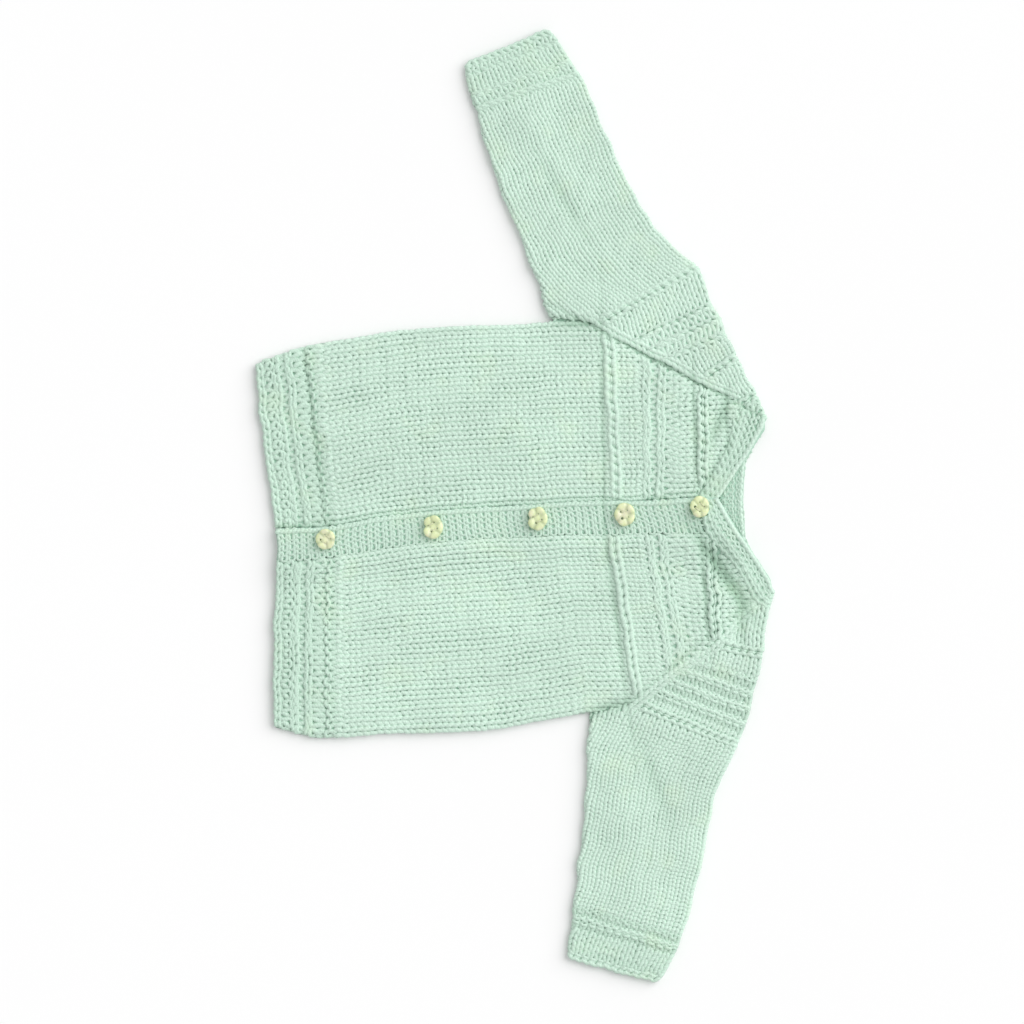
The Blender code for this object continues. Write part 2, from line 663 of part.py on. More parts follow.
def drill(made, bottom):
    """Cuts the sewing holes through a button."""
    points, faces = [], []
    for hole in range(HOLES):
        turn = math.tau * hole / HOLES
        cx, cy = HOLE_CIRCLE * math.cos(turn), HOLE_CIRCLE * math.sin(turn)
        base = len(points)
        for z in (bottom - 1.0, bottom + BUTTON_THICKNESS + 1.0):
            for k in range(HOLE_SIDES):
                angle = math.tau * (k + 0.5) / HOLE_SIDES
                points.append((cx + HOLE_RADIUS * math.cos(angle),
                               cy + HOLE_RADIUS * math.sin(angle), z))
        faces.append(tuple(base + k for k in range(HOLE_SIDES))[::-1])
        faces.append(tuple(base + HOLE_SIDES + k for k in range(HOLE_SIDES)))
        for k in range(HOLE_SIDES):
            n = (k + 1) % HOLE_SIDES
            faces.append((base + k, base + n, base + HOLE_SIDES + n, base + HOLE_SIDES + k))
    mesh = bpy.data.meshes.new(made.name + "_holes")
    mesh.from_pydata([tuple(c * MM for c in p) for p in points], [], faces)
    cutter = bpy.data.objects.new(made.name + "_holes", mesh)
    bpy.context.scene.collection.objects.link(cutter)
    cutter.parent = made
    cutter.hide_render = True
    cutter.display_type = "WIRE"
    cut = made.modifiers.new("sewing_holes", "BOOLEAN")
    cut.operation = "DIFFERENCE"
    cut.solver = "EXACT"
    cut.object = cutter


def main():
    clear_scene()
    knits = {}
    for name in ("back", "front_right", "front_left", "sleeve_right", "sleeve_left"):
        knits[name] = material(name, MINT, KNIT_ROUGHNESS)
    for name in ("buttonhole_band", "button_band", "neckband"):
        knits[name] = material(name, MINT_BAND, KNIT_ROUGHNESS)
    left_rows = ((60.0, 0.0, 0.8, 0.3),) + YOKE_ROWS
    back("back", knits["back"])
    front("front_right", knits["front_right"], BODY_RIGHT, YOKE_RIGHT, False)
    front("front_left", knits["front_left"], BODY_LEFT, YOKE_LEFT, True)
    sleeve("sleeve_right", knits["sleeve_right"], SLEEVE_RIGHT, YOKE_RIGHT, YOKE_ROWS)
    sleeve("sleeve_left", knits["sleeve_left"], SLEEVE_LEFT, YOKE_LEFT, left_rows)
    buttonhole_band("buttonhole_band", knits["buttonhole_band"])
    button_band("button_band", knits["button_band"])
    neckband("neckband", knits["neckband"])
    for number, (x, y, turn) in enumerate(BUTTONS, start=1):
        name = "button_%d" % number
        button(name, material(name, CREAM, BUTTON_ROUGHNESS), x, y, turn)


main()
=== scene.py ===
"""Hand-knitted raglan baby cardigan, laid flat and buttoned, knitted stitch by stitch.

Every row of knitting is one strand of yarn that is led through its loops over a thin cloth, on the
same plan as the cardigan's solids. Lengths in the tables are millimetres and courses are rows of
knitting, counted from the hem or from the cuff.
"""

import math

import bpy
import numpy as np
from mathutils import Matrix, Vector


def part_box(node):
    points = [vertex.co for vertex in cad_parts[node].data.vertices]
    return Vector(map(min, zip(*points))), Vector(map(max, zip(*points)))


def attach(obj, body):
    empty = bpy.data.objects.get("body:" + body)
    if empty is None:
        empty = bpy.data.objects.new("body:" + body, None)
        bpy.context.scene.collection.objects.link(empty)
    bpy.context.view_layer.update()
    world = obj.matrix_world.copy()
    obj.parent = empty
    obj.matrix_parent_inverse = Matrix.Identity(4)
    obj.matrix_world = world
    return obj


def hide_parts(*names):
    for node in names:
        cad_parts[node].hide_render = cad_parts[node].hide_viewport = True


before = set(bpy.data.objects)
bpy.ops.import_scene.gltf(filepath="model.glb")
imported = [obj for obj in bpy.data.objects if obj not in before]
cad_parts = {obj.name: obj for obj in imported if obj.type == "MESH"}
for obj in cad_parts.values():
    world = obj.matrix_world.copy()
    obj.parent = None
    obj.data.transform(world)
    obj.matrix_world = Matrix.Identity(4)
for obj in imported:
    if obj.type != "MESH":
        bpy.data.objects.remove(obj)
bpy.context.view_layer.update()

bl_info = {
    "name": "Knitted baby cardigan",
    "version": (1, 0, 0),
    "blender": (4, 5, 0),
    "location": "3D View > Sidebar > Cardigan",
    "description": "Knits a raglan baby cardigan stitch by stitch and buttons it",
    "category": "Mesh",
}

MM = 0.001
BODY = "root"
UPRIGHT = (0.0, 0.0, 1.0)

# Thickness of a layer of cloth, the space over it, and the heights of the layers' middles.
WALL = 2.0
GAP = 0.3
LAYER = WALL + GAP
Z_BACK = WALL / 2
Z_FRONT = Z_BACK + LAYER
Z_OVER = Z_FRONT + LAYER
# A side turns round the radius BEND, with its outermost point inside the plan by CROWN.
BEND = LAYER / 2
CROWN = 0.5
EDGE = BEND + CROWN
QUARTER = BEND * math.pi / 2
# Space at a seam, and how much longer a row is that turns at its side and stops at no seam.
SEAM = 0.5
TURN_GAIN = QUARTER - EDGE + SEAM
# Length over which the left front climbs onto the band.
RISE_LENGTH = 18.0

# Course numbers that the pieces share.
UNDERARM = 51.0
SLEEVE_UNDERARM = 54.5
YOKE = 58.0
NECK_START = 75.0
NECK = 80.0
# Courses below an underarm over which the sides stop turning.
UNDERARM_BLEND = 3.0
BODY_GRID = np.linspace(0.0, UNDERARM, 52)

# Columns: course, side x, y, front edge x, y, sag of the row.
BODY_RIGHT = (
    (0.0, -78.0, -143.0, 13.0, -131.0, 1.0),
    (10.0, -87.5, -117.0, 12.0, -105.5, 1.0),
    (22.0, -94.5, -73.5, 5.0, -66.5, 0.5),
    (34.0, -98.5, -33.5, 1.5, -27.0, 0.5),
    (46.0, -100.0, 6.5, -0.5, 12.5, 0.0),
    (51.0, -100.8, 22.5, -2.0, 28.5, 0.0),
    (58.0, -98.5, 45.5, -2.5, 51.5, 0.0),
)
BODY_LEFT = (
    (0.0, 122.5, -132.5, 30.5, -131.0, 1.0),
    (10.0, 128.0, -105.5, 28.5, -104.5, 0.5),
    (22.0, 125.5, -63.0, 23.0, -65.5, 0.0),
    (34.0, 123.5, -20.0, 19.0, -26.5, 0.0),
    (46.0, 117.5, 22.5, 17.0, 12.5, 0.0),
    (51.0, 113.7, 41.0, 16.0, 28.5, 0.0),
    (58.0, 107.0, 65.5, 16.0, 51.0, 0.0),
)
# Columns: course, raglan x, y, front or neck edge x, y, shoulder x, y.
YOKE_RIGHT = (
    (58.0, -98.5, 45.5, -2.5, 51.5, -131.0, 100.5),
    (63.0, -88.5, 62.5, -2.5, 65.5, -111.5, 108.5),
    (66.0, -83.5, 72.0, -3.0, 72.5, -102.5, 113.0),
    (69.0, -79.0, 81.5, -3.5, 80.5, -92.5, 116.5),
    (75.0, -68.5, 100.0, -5.0, 100.3, -83.0, 122.0),
    (76.5, -65.0, 106.5, -13.0, 105.5, -77.5, 125.0),
    (78.0, -62.0, 112.5, -21.0, 110.5, -72.0, 127.0),
    (79.2, -60.0, 117.5, -29.5, 114.5, -68.0, 129.0),
    (80.0, -58.5, 121.0, -35.5, 116.5, -65.0, 131.0),
)
YOKE_LEFT = (
    (58.0, 107.0, 65.5, 16.0, 51.0, 131.5, 122.5),
    (60.0, 103.5, 69.5, 16.0, 57.0, 125.0, 125.5),
    (63.0, 97.5, 77.5, 16.0, 65.5, 116.0, 128.0),
    (66.0, 92.0, 84.5, 16.0, 72.5, 107.5, 130.5),
    (69.0, 86.0, 92.0, 15.5, 80.0, 99.5, 132.5),
    (75.0, 76.5, 108.0, 15.5, 104.5, 82.0, 136.0),
    (76.5, 70.5, 114.5, 22.5, 110.0, 75.5, 137.0),
    (78.0, 63.5, 120.5, 28.5, 115.5, 68.5, 138.0),
    (79.2, 57.5, 126.0, 34.5, 121.0, 62.5, 138.5),
    (80.0, 52.5, 130.5, 39.5, 124.5, 58.0, 139.0),
)
# Columns: course from the cuff, inner seam x, y, outer fold x, y.
SLEEVE_RIGHT = (
    (0.0, -243.0, -29.0, -263.0, 19.0),
    (9.0, -218.0, -22.0, -238.0, 35.0),
    (20.0, -189.0, -13.5, -211.5, 47.0),
    (32.0, -158.0, -1.5, -184.0, 59.0),
    (44.0, -125.5, 11.5, -158.5, 73.0),
    (54.5, -100.8, 22.5, -137.0, 93.0),
    (58.0, -98.5, 45.5, -131.0, 100.5),
)
SLEEVE_LEFT = (
    (0.0, 248.5, 28.0, 262.5, 80.0),
    (9.0, 221.5, 32.0, 238.0, 91.5),
    (20.0, 195.5, 35.0, 213.5, 98.5),
    (32.0, 167.0, 38.5, 187.5, 104.5),
    (44.0, 139.0, 39.5, 160.5, 109.5),
    (54.5, 113.7, 41.0, 139.0, 119.0),
    (58.0, 107.0, 65.5, 131.5, 122.5),
)
# Neckband. Columns: seam x, y, free edge x, y.
NECK_FRONT_RIGHT = (
    (15.0, 88.5, 15.5, 98.0),
    (-5.0, 100.3, -0.8, 109.2),
    (-13.0, 105.5, -8.0, 114.8),
    (-21.0, 110.5, -15.3, 119.8),
    (-29.5, 114.5, -22.3, 124.6),
    (-35.5, 116.5, -27.0, 128.0),
    (-47.0, 118.7, -36.0, 133.5),
    (-58.5, 121.0, -41.5, 137.5),
)
NECK_SHOULDER_RIGHT = (-65.0, 131.0, -47.0, 139.0)
NECK_BACK = (
    (-58.5, 121.0, -42.0, 137.5),
    (-41.5, 117.0, -32.0, 131.0),
    (-25.0, 113.5, -23.5, 127.0),
    (-3.0, 112.0, -3.0, 125.5),
    (19.0, 114.0, 18.0, 127.0),
    (36.5, 120.0, 31.0, 133.0),
    (52.5, 130.5, 41.0, 140.3),
)
NECK_SHOULDER_LEFT = (58.0, 139.0, 46.5, 143.0)
NECK_FRONT_LEFT = (
    (52.5, 130.5, 40.5, 140.5),
    (47.0, 128.1, 34.3, 136.4),
    (39.5, 124.5, 30.5, 134.0),
    (34.5, 121.0, 27.0, 131.3),
    (28.5, 115.5, 19.8, 126.8),
    (22.5, 110.0, 13.2, 122.2),
    (15.5, 104.5, 6.5, 118.3),
    (5.0, 102.0, -0.5, 114.0),
    (-4.3, 100.0, -4.5, 111.0),
)
# Where the rows of a front would meet its edge if the neck were not shaped. Columns: course, x, y.
ROW_START_RIGHT = ((75.0, -5.0, 100.3), (80.0, -6.0, 119.0))
ROW_START_LEFT = ((75.0, 15.5, 104.5), (80.0, 14.5, 126.0))

BAND_BOTTOM = -131.0
BAND_TOP_RIGHT = 100.0
BAND_TOP_LEFT = 104.5
UNDERLAP_TOP_LEFT = 88.5
# How far the bands stop short of those heights.
BAND_TRIM = 0.4
BACK_HEM_SAG = -8.0

# Soft raised places in the top layer. Columns: x, y, direction in degrees, half length, half
# width, height.
LIFTS = (
    (-112.0, 62.0, 118.0, 34.0, 9.0, 1.3),
    (-134.0, 52.0, 60.0, 26.0, 10.0, 0.9),
    (-196.0, 14.0, 24.0, 40.0, 12.0, 0.8),
    (196.0, 66.0, 10.0, 42.0, 12.0, 0.8),
    (122.0, 88.0, 75.0, 26.0, 9.0, 1.2),
    (60.0, 108.0, 12.0, 24.0, 8.0, 1.5),
    (-56.0, 92.0, 60.0, 22.0, 9.0, 0.9),
    (-46.0, -40.0, 80.0, 60.0, 20.0, 0.8),
    (74.0, -30.0, 95.0, 66.0, 22.0, 0.9),
    (60.0, 82.0, 10.0, 26.0, 12.0, 0.7),
)

# Finer folds of the knitting alone, in the same columns. Valleys have a negative height.
FOLDS = (
    (46.0, 119.0, 35.0, 20.0, 3.0, -1.3),
    (62.0, 124.0, 5.0, 14.0, 3.0, -1.0),
    (38.0, 108.0, 40.0, 20.0, 4.5, 0.9),
    (-46.0, 112.0, 160.0, 14.0, 3.0, -1.2),
    (-30.0, 106.0, 150.0, 16.0, 3.5, 0.6),
    (-100.0, 32.0, 85.0, 11.0, 3.0, -1.2),
    (111.0, 51.0, 105.0, 13.0, 3.0, -1.2),
    (-118.0, 74.0, 130.0, 26.0, 4.0, 0.5),
    (-60.0, 10.0, 100.0, 30.0, 6.0, 0.3),
    (60.0, -80.0, 85.0, 34.0, 6.0, 0.3),
    (90.0, -20.0, 95.0, 40.0, 5.0, 0.3),
    (150.0, 76.0, 20.0, 24.0, 4.0, -0.5),
    (-170.0, 26.0, 30.0, 26.0, 4.0, -0.5),
    (-43.0, 48.2, 1.0, 58.0, 1.3, -1.0),
    (-43.0, 98.8, 2.0, 34.0, 1.4, -1.2),
    (66.0, 56.0, 7.4, 58.0, 1.3, -1.0),
    (47.0, 104.4, 5.0, 28.0, 1.4, -1.3),
    (-77.0, 82.5, 62.0, 60.0, 1.2, -1.6),
    (-45.5, -110.9, 7.0, 50.0, 1.3, -1.1),
    (79.0, 97.5, 130.0, 60.0, 1.2, -0.5),
    (-47.0, 116.5, 2.0, 16.0, 1.5, -1.1),
    (-19.0, 108.6, 152.0, 19.0, 1.5, -0.9),
    (26.0, 121.0, 33.0, 30.0, 3.6, 1.3),
    (32.0, 111.5, 37.0, 24.0, 3.8, -1.5),
)
VALLEYS = [fold for fold in FOLDS if fold[-1] < 0]
# Waviness of the stitches in plan. Columns: length of a wave, its reach, its turn, its phase.
# The waves sway by an angle over lengths along x and y, and the neckband has a share of them.
WAVES = ((37.0, 0.35, 2.9, 4.0), (21.0, 0.22, 0.3, 0.0), (12.0, 0.12, 1.4, 1.0))
WAVE_SWAY = 0.7
SWAY_X, SWAY_Y = 13.0, 11.0
NECKBAND_WAVE = 0.3

# Textured rows. Columns: course, spacing, purl, raise in mm, width of a stitch, stoutness of the
# yarn, lean of the loops.
HEM_ROWS = (
    (1.25, 1.0, 1, 0.1, 1.15, 1.25, 1.1),
    (2.5, 1.25, 0, 0.0, 1.15, 1.2, 1.2),
    (4.0, 1.5, 0, 0.0, 1.15, 1.15, 1.3),
    (5.75, 1.5, 1, 0.2, 1.15, 1.25, 1.3),
    (7.2, 1.4, 0, 0.0, 1.15, 1.15, 1.3),
    (8.7, 1.45, 1, 0.3, 1.15, 1.25, 1.3),
    (10.1, 1.35, 0, 0.0, 1.15, 1.05, 1.1),
    (11.6, 1.3, 1, 0.6, 1.15, 1.1, 1.0),
    (12.75, 1.1, 0, 0.0, 1.08, 1.1, 1.0),
)
BACK_ROWS = (
    (65.2, 1.2, 0, 0.0, 1.1, 1.1, 1.2),
    (66.8, 1.45, 1, 0.3, 1.1, 1.3, 1.3),
    (68.2, 1.4, 0, 0.0, 1.1, 1.25, 1.3),
    (69.7, 1.45, 1, 0.3, 1.1, 1.3, 1.3),
    (71.0, 1.2, 0, 0.0, 1.05, 1.1, 1.1),
)
FRONT_ROWS = (
    (64.9, 1.15, 0, 0.0, 1.1, 1.0, 1.2),
    (67.4, 1.5, 1, 0.3, 1.1, 1.15, 1.3),
    (70.1, 1.25, 1, 0.1, 1.1, 1.1, 1.2),
    (71.2, 1.1, 0, 0.0, 1.05, 1.0, 1.1),
)
CUFF_ROWS_RIGHT = (
    (1.8, 1.0, 0, 0.0, 1.1, 1.0, 1.1),
    (3.6, 1.1, 0, 0.0, 1.05, 1.0, 1.0),
    (4.6, 1.05, 0, 0.0, 1.05, 1.0, 1.0),
    (5.4, 1.0, 0, 0.0, 1.05, 1.0, 1.0),
    (7.3, 1.2, 1, 0.4, 1.1, 1.1, 1.1),
    (8.4, 1.1, 0, -0.2, 1.1, 1.0, 1.0),
    (9.6, 1.2, 1, 0.2, 1.05, 1.1, 1.0),
)
CUFF_ROWS_LEFT = (
    (1.6, 1.0, 0, -0.2, 1.05, 1.0, 1.0),
    (2.7, 1.1, 0, 0.0, 1.05, 1.05, 1.0),
    (3.8, 1.1, 0, 0.0, 1.05, 1.05, 1.0),
    (4.9, 1.1, 0, 0.0, 1.05, 1.05, 1.0),
    (5.95, 1.1, 0, -0.4, 1.05, 1.0, 1.0),
    (6.85, 0.6, 1, 0.5, 1.1, 1.1, 1.1),
    (7.6, 0.6, 1, 0.5, 1.1, 1.1, 1.1),
    (8.5, 1.15, 0, -0.4, 1.0, 1.0, 1.0),
    (9.5, 1.0, 1, 0.3, 1.0, 1.0, 1.0),
)
SLEEVE_ROWS_RIGHT = (
    (63.0, 1.3, 0, 0.0, 1.1, 1.15, 1.2),
    (64.3, 1.4, 1, 0.5, 1.1, 1.3, 1.2),
    (65.7, 1.4, 0, 0.0, 1.1, 1.2, 1.2),
    (67.1, 1.4, 1, 0.5, 1.1, 1.3, 1.2),
    (68.5, 1.4, 0, 0.0, 1.1, 1.2, 1.2),
    (69.9, 1.4, 1, 0.4, 1.1, 1.2, 1.2),
)
WELT = (0.58, 1, 0.5, 1.15, 1.15, 1.1)
GROOVE = (1.4, 0, -0.45, 1.0, 1.0, 1.0)
SLEEVE_ROWS_LEFT = (
    (60.35, 1.3, 0, -0.45, 1.0, 1.0, 1.0), (61.3, *WELT), (62.0, *WELT),
    (63.1, *GROOVE), (64.1, *WELT), (64.8, *WELT),
    (65.95, *GROOVE), (67.05, *WELT), (67.75, *WELT),
    (68.85, 1.4, 0, -0.35, 1.0, 1.0, 1.0), (70.2, 0.7, 1, 0.4, 1.1, 1.1, 1.0),
)
BAND_ROWS = [(k + 0.62, 0.92, 0.68, 0.1, 1.0, 0.77, 0.85) for k in range(5)]
UNDERLAP_ROWS = [(k + 0.62, 1.0, 0, 0.0, 1.0, 1.0, 1.0) for k in range(5)]
NECKBAND_ROWS = [(k + 0.35, 1.0, 0, 0.0, 1.0, 0.95, 1.0) for k in range(4)]
NECKBAND_INSIDE_ROWS = [(k * 0.9 + 0.5, 0.9, 1, 0.2, 1.0, 0.8, 1.2) for k in range(4)]
RAGLAN_ROWS = [(k + 0.5, 1.0, 0, 0.5, 1.0, 1.1, 1.0) for k in range(27)]
# Purl, raise, width, stoutness and lean of a plain row.
PLAIN = (0, 0.0, 1.0, 1.0, 1.0)
# First seed of a piece's ridges, past that of its rows.
RIDGE_SEEDS = 200
# Ridges of two strands side by side, with one between them that dips. Columns: course, distance
# between the strands in courses, half width of a strand and its height over the cloth in mm.
RIDGES_FRONT_RIGHT = (
    (59.7, 1.3, 1.7, 0.7), (75.85, 0.95, 1.3, 0.7), (66.0, 0.95, 1.2, 0.3),
    (68.7, 0.95, 1.2, 0.3), (0.8, 0.85, 1.3, 0.2), (4.4, 0.95, 1.2, 0.25), (7.2, 0.95, 1.2, 0.3),
)
RIDGES_FRONT_LEFT = (
    (59.05, 1.3, 1.7, 0.7), (75.6, 0.95, 1.3, 0.7), (66.3, 0.95, 1.2, 0.15),
    (69.0, 0.95, 1.2, 0.15), (0.8, 0.85, 1.3, 0.2), (4.5, 0.95, 1.2, 0.25), (7.2, 0.95, 1.2, 0.3),
)
RIDGES_SLEEVE_RIGHT = (
    (57.7, 1.1, 1.35, 0.45), (75.1, 0.95, 1.3, 0.45), (63.1, 0.9, 1.1, 0.2),
    (65.7, 0.9, 1.1, 0.2), (68.3, 0.9, 1.1, 0.2), (9.0, 0.5, 1.1, 0.5), (0.75, 0.8, 1.15, 0.15),
    (2.7, 0.8, 1.0, 0.15), (6.3, 0.8, 1.0, 0.15),
)
RIDGES_SLEEVE_LEFT = (
    (57.9, 1.1, 1.35, 0.45), (75.1, 1.0, 1.3, 0.5), (0.65, 0.8, 1.2, 0.15),
)
RIDGES_NECKBAND = ((0.65, 0.88, 1.12, 0.5), (1.95, 0.82, 1.02, 0.45), (3.15, 0.76, 1.0, 0.4))
# How far a ridge's strands part at a stitch, in courses, how much thinner, as a share, and lower,
# in mm, they are there, how far in radians each is out of step, and how flat it is.
PARTING = 0.13
BUMP = 0.1
LAG = 0.7
RIDGE_FLATNESS = 0.7
EDGING_FLATNESS = 0.92
# A ridge takes the place of rows this near: a share of its strands' distance, and courses.
RIDGE_CLEARANCE = (0.45, 0.2)
# Height of a ridge's middle strand over the others, how much deeper than their height it dips, and
# its half width and half thickness as shares of their half width.
MIDDLE_RISE = 0.25
MIDDLE_DIP = 1.0
MIDDLE_WIDTH = 0.62
MIDDLE_THICKNESS = 0.5
# Depth in mm and reach in stitches of the tuck at both ends of a row and of a ridge.
ROW_TUCK = (0.9, 0.22)
RIDGE_TUCK = (1.2, 0.3)
# How far a stitch strays up, a whole row up, and a stitch aside, in stitches, and how much the
# yarn's fullness varies, all at an unevenness of 1.
STRAY_UP = 0.25
STRAY_ROW = 0.2
STRAY_ASIDE = 0.12
STRAY_FULL = 0.35
# The same for a ridge: its strands' stitches, both strands, one strand, and its fullness.
RIDGE_STRAY = (0.06, 0.05, 0.04, 0.1)
# How much thicker the yarn is at a loop's legs than at its head.
PUFF = 0.18
# How much deeper a purl loop's head lies, and how much thinner its yarn is.
PURL_DEEPER = 1.2
PURL_THINNER = 0.12
# Stitches in the shortest row that is knitted.
SHORTEST_ROW = 0.8
# Length of yarn in mm within which a strand's twist starts.
TWIST_RANGE = 50.0
# Strands that the yarn is plied from.
PLIES = 3.0
# Painted shade on the yarn in the textured borders and ridges, as the share of its colour that it
# keeps. A valley adds painted shade for each mm of its depth, and so does a row for each mm that
# it is sunk.
HEM_SHADE = 0.94
CUFF_SHADE = 0.96
BAND_SHADE = 0.95
NECK_SHADE = 0.93
RIDGE_SHADE = 0.98
CREASE_SHADE = 0.19
SUNK_SHADE = 0.2
# How fast red, green and blue fall with the painted shade, so that shaded yarn is greener.
SHADE_POWERS = (1.35, 1.0, 1.25)
# Courses up to which the hem, the cuffs and the bands get the borders' painted shade.
HEM_END = 12.5
CUFF_END = 10.0
BAND_END = 9.0

# Counts and widths of the stitches, and the size of the yarn on the sleeves and on undersides.
FRONT_COLUMNS = 20
BACK_COLUMNS = 43
SLEEVE_PITCH = 4.4
SLEEVE_FINE = 0.95
UNDER_FINE = 0.72
CUFF_COLUMNS = 13
# Course from which a sleeve's stitches keep their full width.
SLEEVE_SHAPED = 20.0
# Radius in mm of a sleeve's corners at its cuff, and the courses that they take in.
CORNER = 5.0
CORNER_COURSES = 4
# Where the rows of the shaped neck start, and their spacing.
NECK_ROWS_START = NECK_START - 0.4
NECK_GAP = 0.77
# The column along a raglan line: its width, its distance from the line, how far the sleeve's rows
# run under it and the courses by which it starts below the yoke.
RAGLAN_WIDTH = 4.6
RAGLAN_GAP = 0.3
RAGLAN_OVERLAP = 1.2
RAGLAN_BELOW = 3.5
# How far a front runs on under its raglan line, at most past its plan, and under the neckband.
RAGLAN_TUCK = 1.3
OVERRUN = 3.0
NECK_TUCK = 1.3
BAND_COLUMNS = 57
BAND_COURSES = 5.5
# Columns that the buttonhole band runs on under the neckband.
BAND_TUCK = 0.32
NECK_PITCH = 4.2
NECK_COURSES = len(NECKBAND_ROWS)
# Courses between the neckband's seam and its first course, and mm between the seam and the folds.
NECKBAND_TUCK = 0.3
SHOULDER_TRIM = 0.7
FOLD_ANGLES = np.linspace(0.0, math.pi, 9)

# Buttons. Columns: node, centre x, y, stretch along x, y, direction of the first notch in degrees,
# depth in mm of the notches between the petals, direction of the first hole, radii in mm of the
# holes.
BUTTONS = (
    ("button_1", 18.5, -104.0, 0.97, 0.92, 225.0, (0.5, 0.3, 0.3, 0.5, 0.3), 275.0,
     (0.5, 0.3, 0.3, 0.3)),
    ("button_2", 11.8, -45.2, 1.12, 0.97, 268.0, (2.0, 0.4, 0.3, 0.4, 0.8), 345.0,
     (0.52, 0.45, 0.5, 0.35)),
    ("button_3", 7.1, 12.2, 1.12, 0.97, 268.0, (1.8, 0.4, 0.4, 0.5, 0.9), 344.0,
     (0.5, 0.45, 0.35, 0.35)),
    ("button_4", 4.9, 60.2, 1.1, 0.97, 310.0, (0.5, 0.3, 0.3, 0.3, 0.4), 328.0,
     (0.75, 0.4, 0.35, 0.5)),
    ("button_5", 0.7, 101.4, 1.02, 0.9, 300.0, (0.7, 0.3, 0.3, 0.3, 0.4), 270.0,
     (0.7, 0.35, 0.3, 0.35)),
)
PETALS = 5
HOLES = 4
# Angles in radians that a notch and a crease take up, depths in metres of the rim's inset and of
# the dip round a hole, and the dip's reach in radii of a hole.
NOTCH_ANGLE = 0.3
CREASE_ANGLE = 0.15
RIM_INSET = 0.0003
DIP = 0.0002
DIP_REACH = 1.5
# Sewing thread in mm: distance of a bar's two threads from its middle, half width and half
# thickness, height over the button and drop at the holes. The bars lie at a share of the
# button's thickness.
THREAD_SPACING = 0.14
THREAD_SIZE = (0.16, 0.14)
THREAD_HEIGHT = 0.12
THREAD_DROP = 2.4
THREAD_LEVEL = 0.86
# From the middle of the underside to the middle of the top: shares of the radius and thickness.
BUTTON_PROFILE = ((0.0, 0.0), (0.5, 0.0), (0.86, 0.0), (0.96, 0.1), (1.0, 0.3), (1.0, 0.55),
                  (0.96, 0.78), (0.88, 0.93), (0.76, 1.0), (0.62, 1.0), (0.46, 0.94), (0.3, 0.84),
                  (0.14, 0.8), (0.0, 0.8))

# Shares of a button's colour as painted shade in its creases and round its holes, and the colour
# of its random pinkish patches.
BUTTON_CREASE_SHADE = (0.42, 0.5, 0.5)
BUTTON_PINK = (0.88, 0.78, 0.66)

# Stage in metres: table, middle of the picture on it, level that the picture's width is taken at,
# and the camera's sensor in mm.
TABLE_SIZE = 6.0
TABLE_LEVEL = -0.0002
PICTURE_MIDDLE = (0.003575, -0.00165)
PICTURE_LEVEL = 0.004
SENSOR = 36.0


class YarnSettings(bpy.types.PropertyGroup):
    """Yarn and stitches."""

    light: bpy.props.FloatVectorProperty(
        name="Light yarn", description="Colour of the yarn's crowns", subtype="COLOR",
        size=3, default=(0.670, 0.865, 0.740))
    # Colour painted as shade between the plies of the yarn.
    ply_shade: bpy.props.FloatVectorProperty(
        name="Deep yarn", description="Colour between the plies and under the loops",
        subtype="COLOR", size=3, default=(0.480, 0.680, 0.555))
    # The ground is coloured darker than the yarn as painted shade deep between the loops.
    ground: bpy.props.FloatVectorProperty(
        name="Ground", description="Colour seen deep between the loops", subtype="COLOR",
        size=3, default=(0.46, 0.68, 0.55))
    warm: bpy.props.FloatVectorProperty(
        name="Warm yarn", description="Colour of the yellower lengths of yarn",
        subtype="COLOR", size=3, default=(0.690, 0.880, 0.700))
    width: bpy.props.FloatProperty(
        name="Yarn width", description="Half the width of the strand across the fabric",
        unit="LENGTH", default=0.00127)
    thickness: bpy.props.FloatProperty(
        name="Yarn thickness", description="Half the thickness of the strand through the fabric",
        unit="LENGTH", default=0.00091)
    depth: bpy.props.FloatProperty(
        name="Loop depth", description="How far a loop's legs stand out from its head",
        unit="LENGTH", default=0.0003)
    slant: bpy.props.FloatProperty(
        name="Leg slant", description="Sideways swing of a loop's legs, in stitches",
        default=0.21)
    height: bpy.props.FloatProperty(
        name="Loop height", description="Half the height of a loop, in rows", default=0.85)
    uneven: bpy.props.FloatProperty(
        name="Unevenness", description="How much the stitches vary, as a share",
        subtype="FACTOR", default=0.13)
    ply: bpy.props.FloatProperty(
        name="Ply length", description="Length of yarn over one turn of its twist",
        unit="LENGTH", default=0.0045)


class ButtonSettings(bpy.types.PropertyGroup):
    """Flower-shaped buttons."""

    colour: bpy.props.FloatVectorProperty(
        name="Button", description="Colour of the buttons", subtype="COLOR", size=3,
        default=(0.72, 0.80, 0.46))
    radius: bpy.props.FloatProperty(
        name="Radius", description="Radius over the petals", unit="LENGTH", default=0.0063)
    thickness: bpy.props.FloatProperty(
        name="Thickness", description="Thickness at the petals", unit="LENGTH", default=0.0024)
    hole: bpy.props.FloatProperty(
        name="Hole radius", description="Usual radius of a sewing hole, for the dip round it",
        unit="LENGTH", default=0.00065)
    hole_circle: bpy.props.FloatProperty(
        name="Hole circle", description="Distance of the holes from the centre",
        unit="LENGTH", default=0.0026)
    crease: bpy.props.FloatProperty(
        name="Crease depth", description="Depth of the creases between the petals",
        unit="LENGTH", default=0.0004)
    thread: bpy.props.FloatVectorProperty(
        name="Thread", description="Colour of the sewing thread", subtype="COLOR", size=3,
        default=(0.80, 0.84, 0.56))


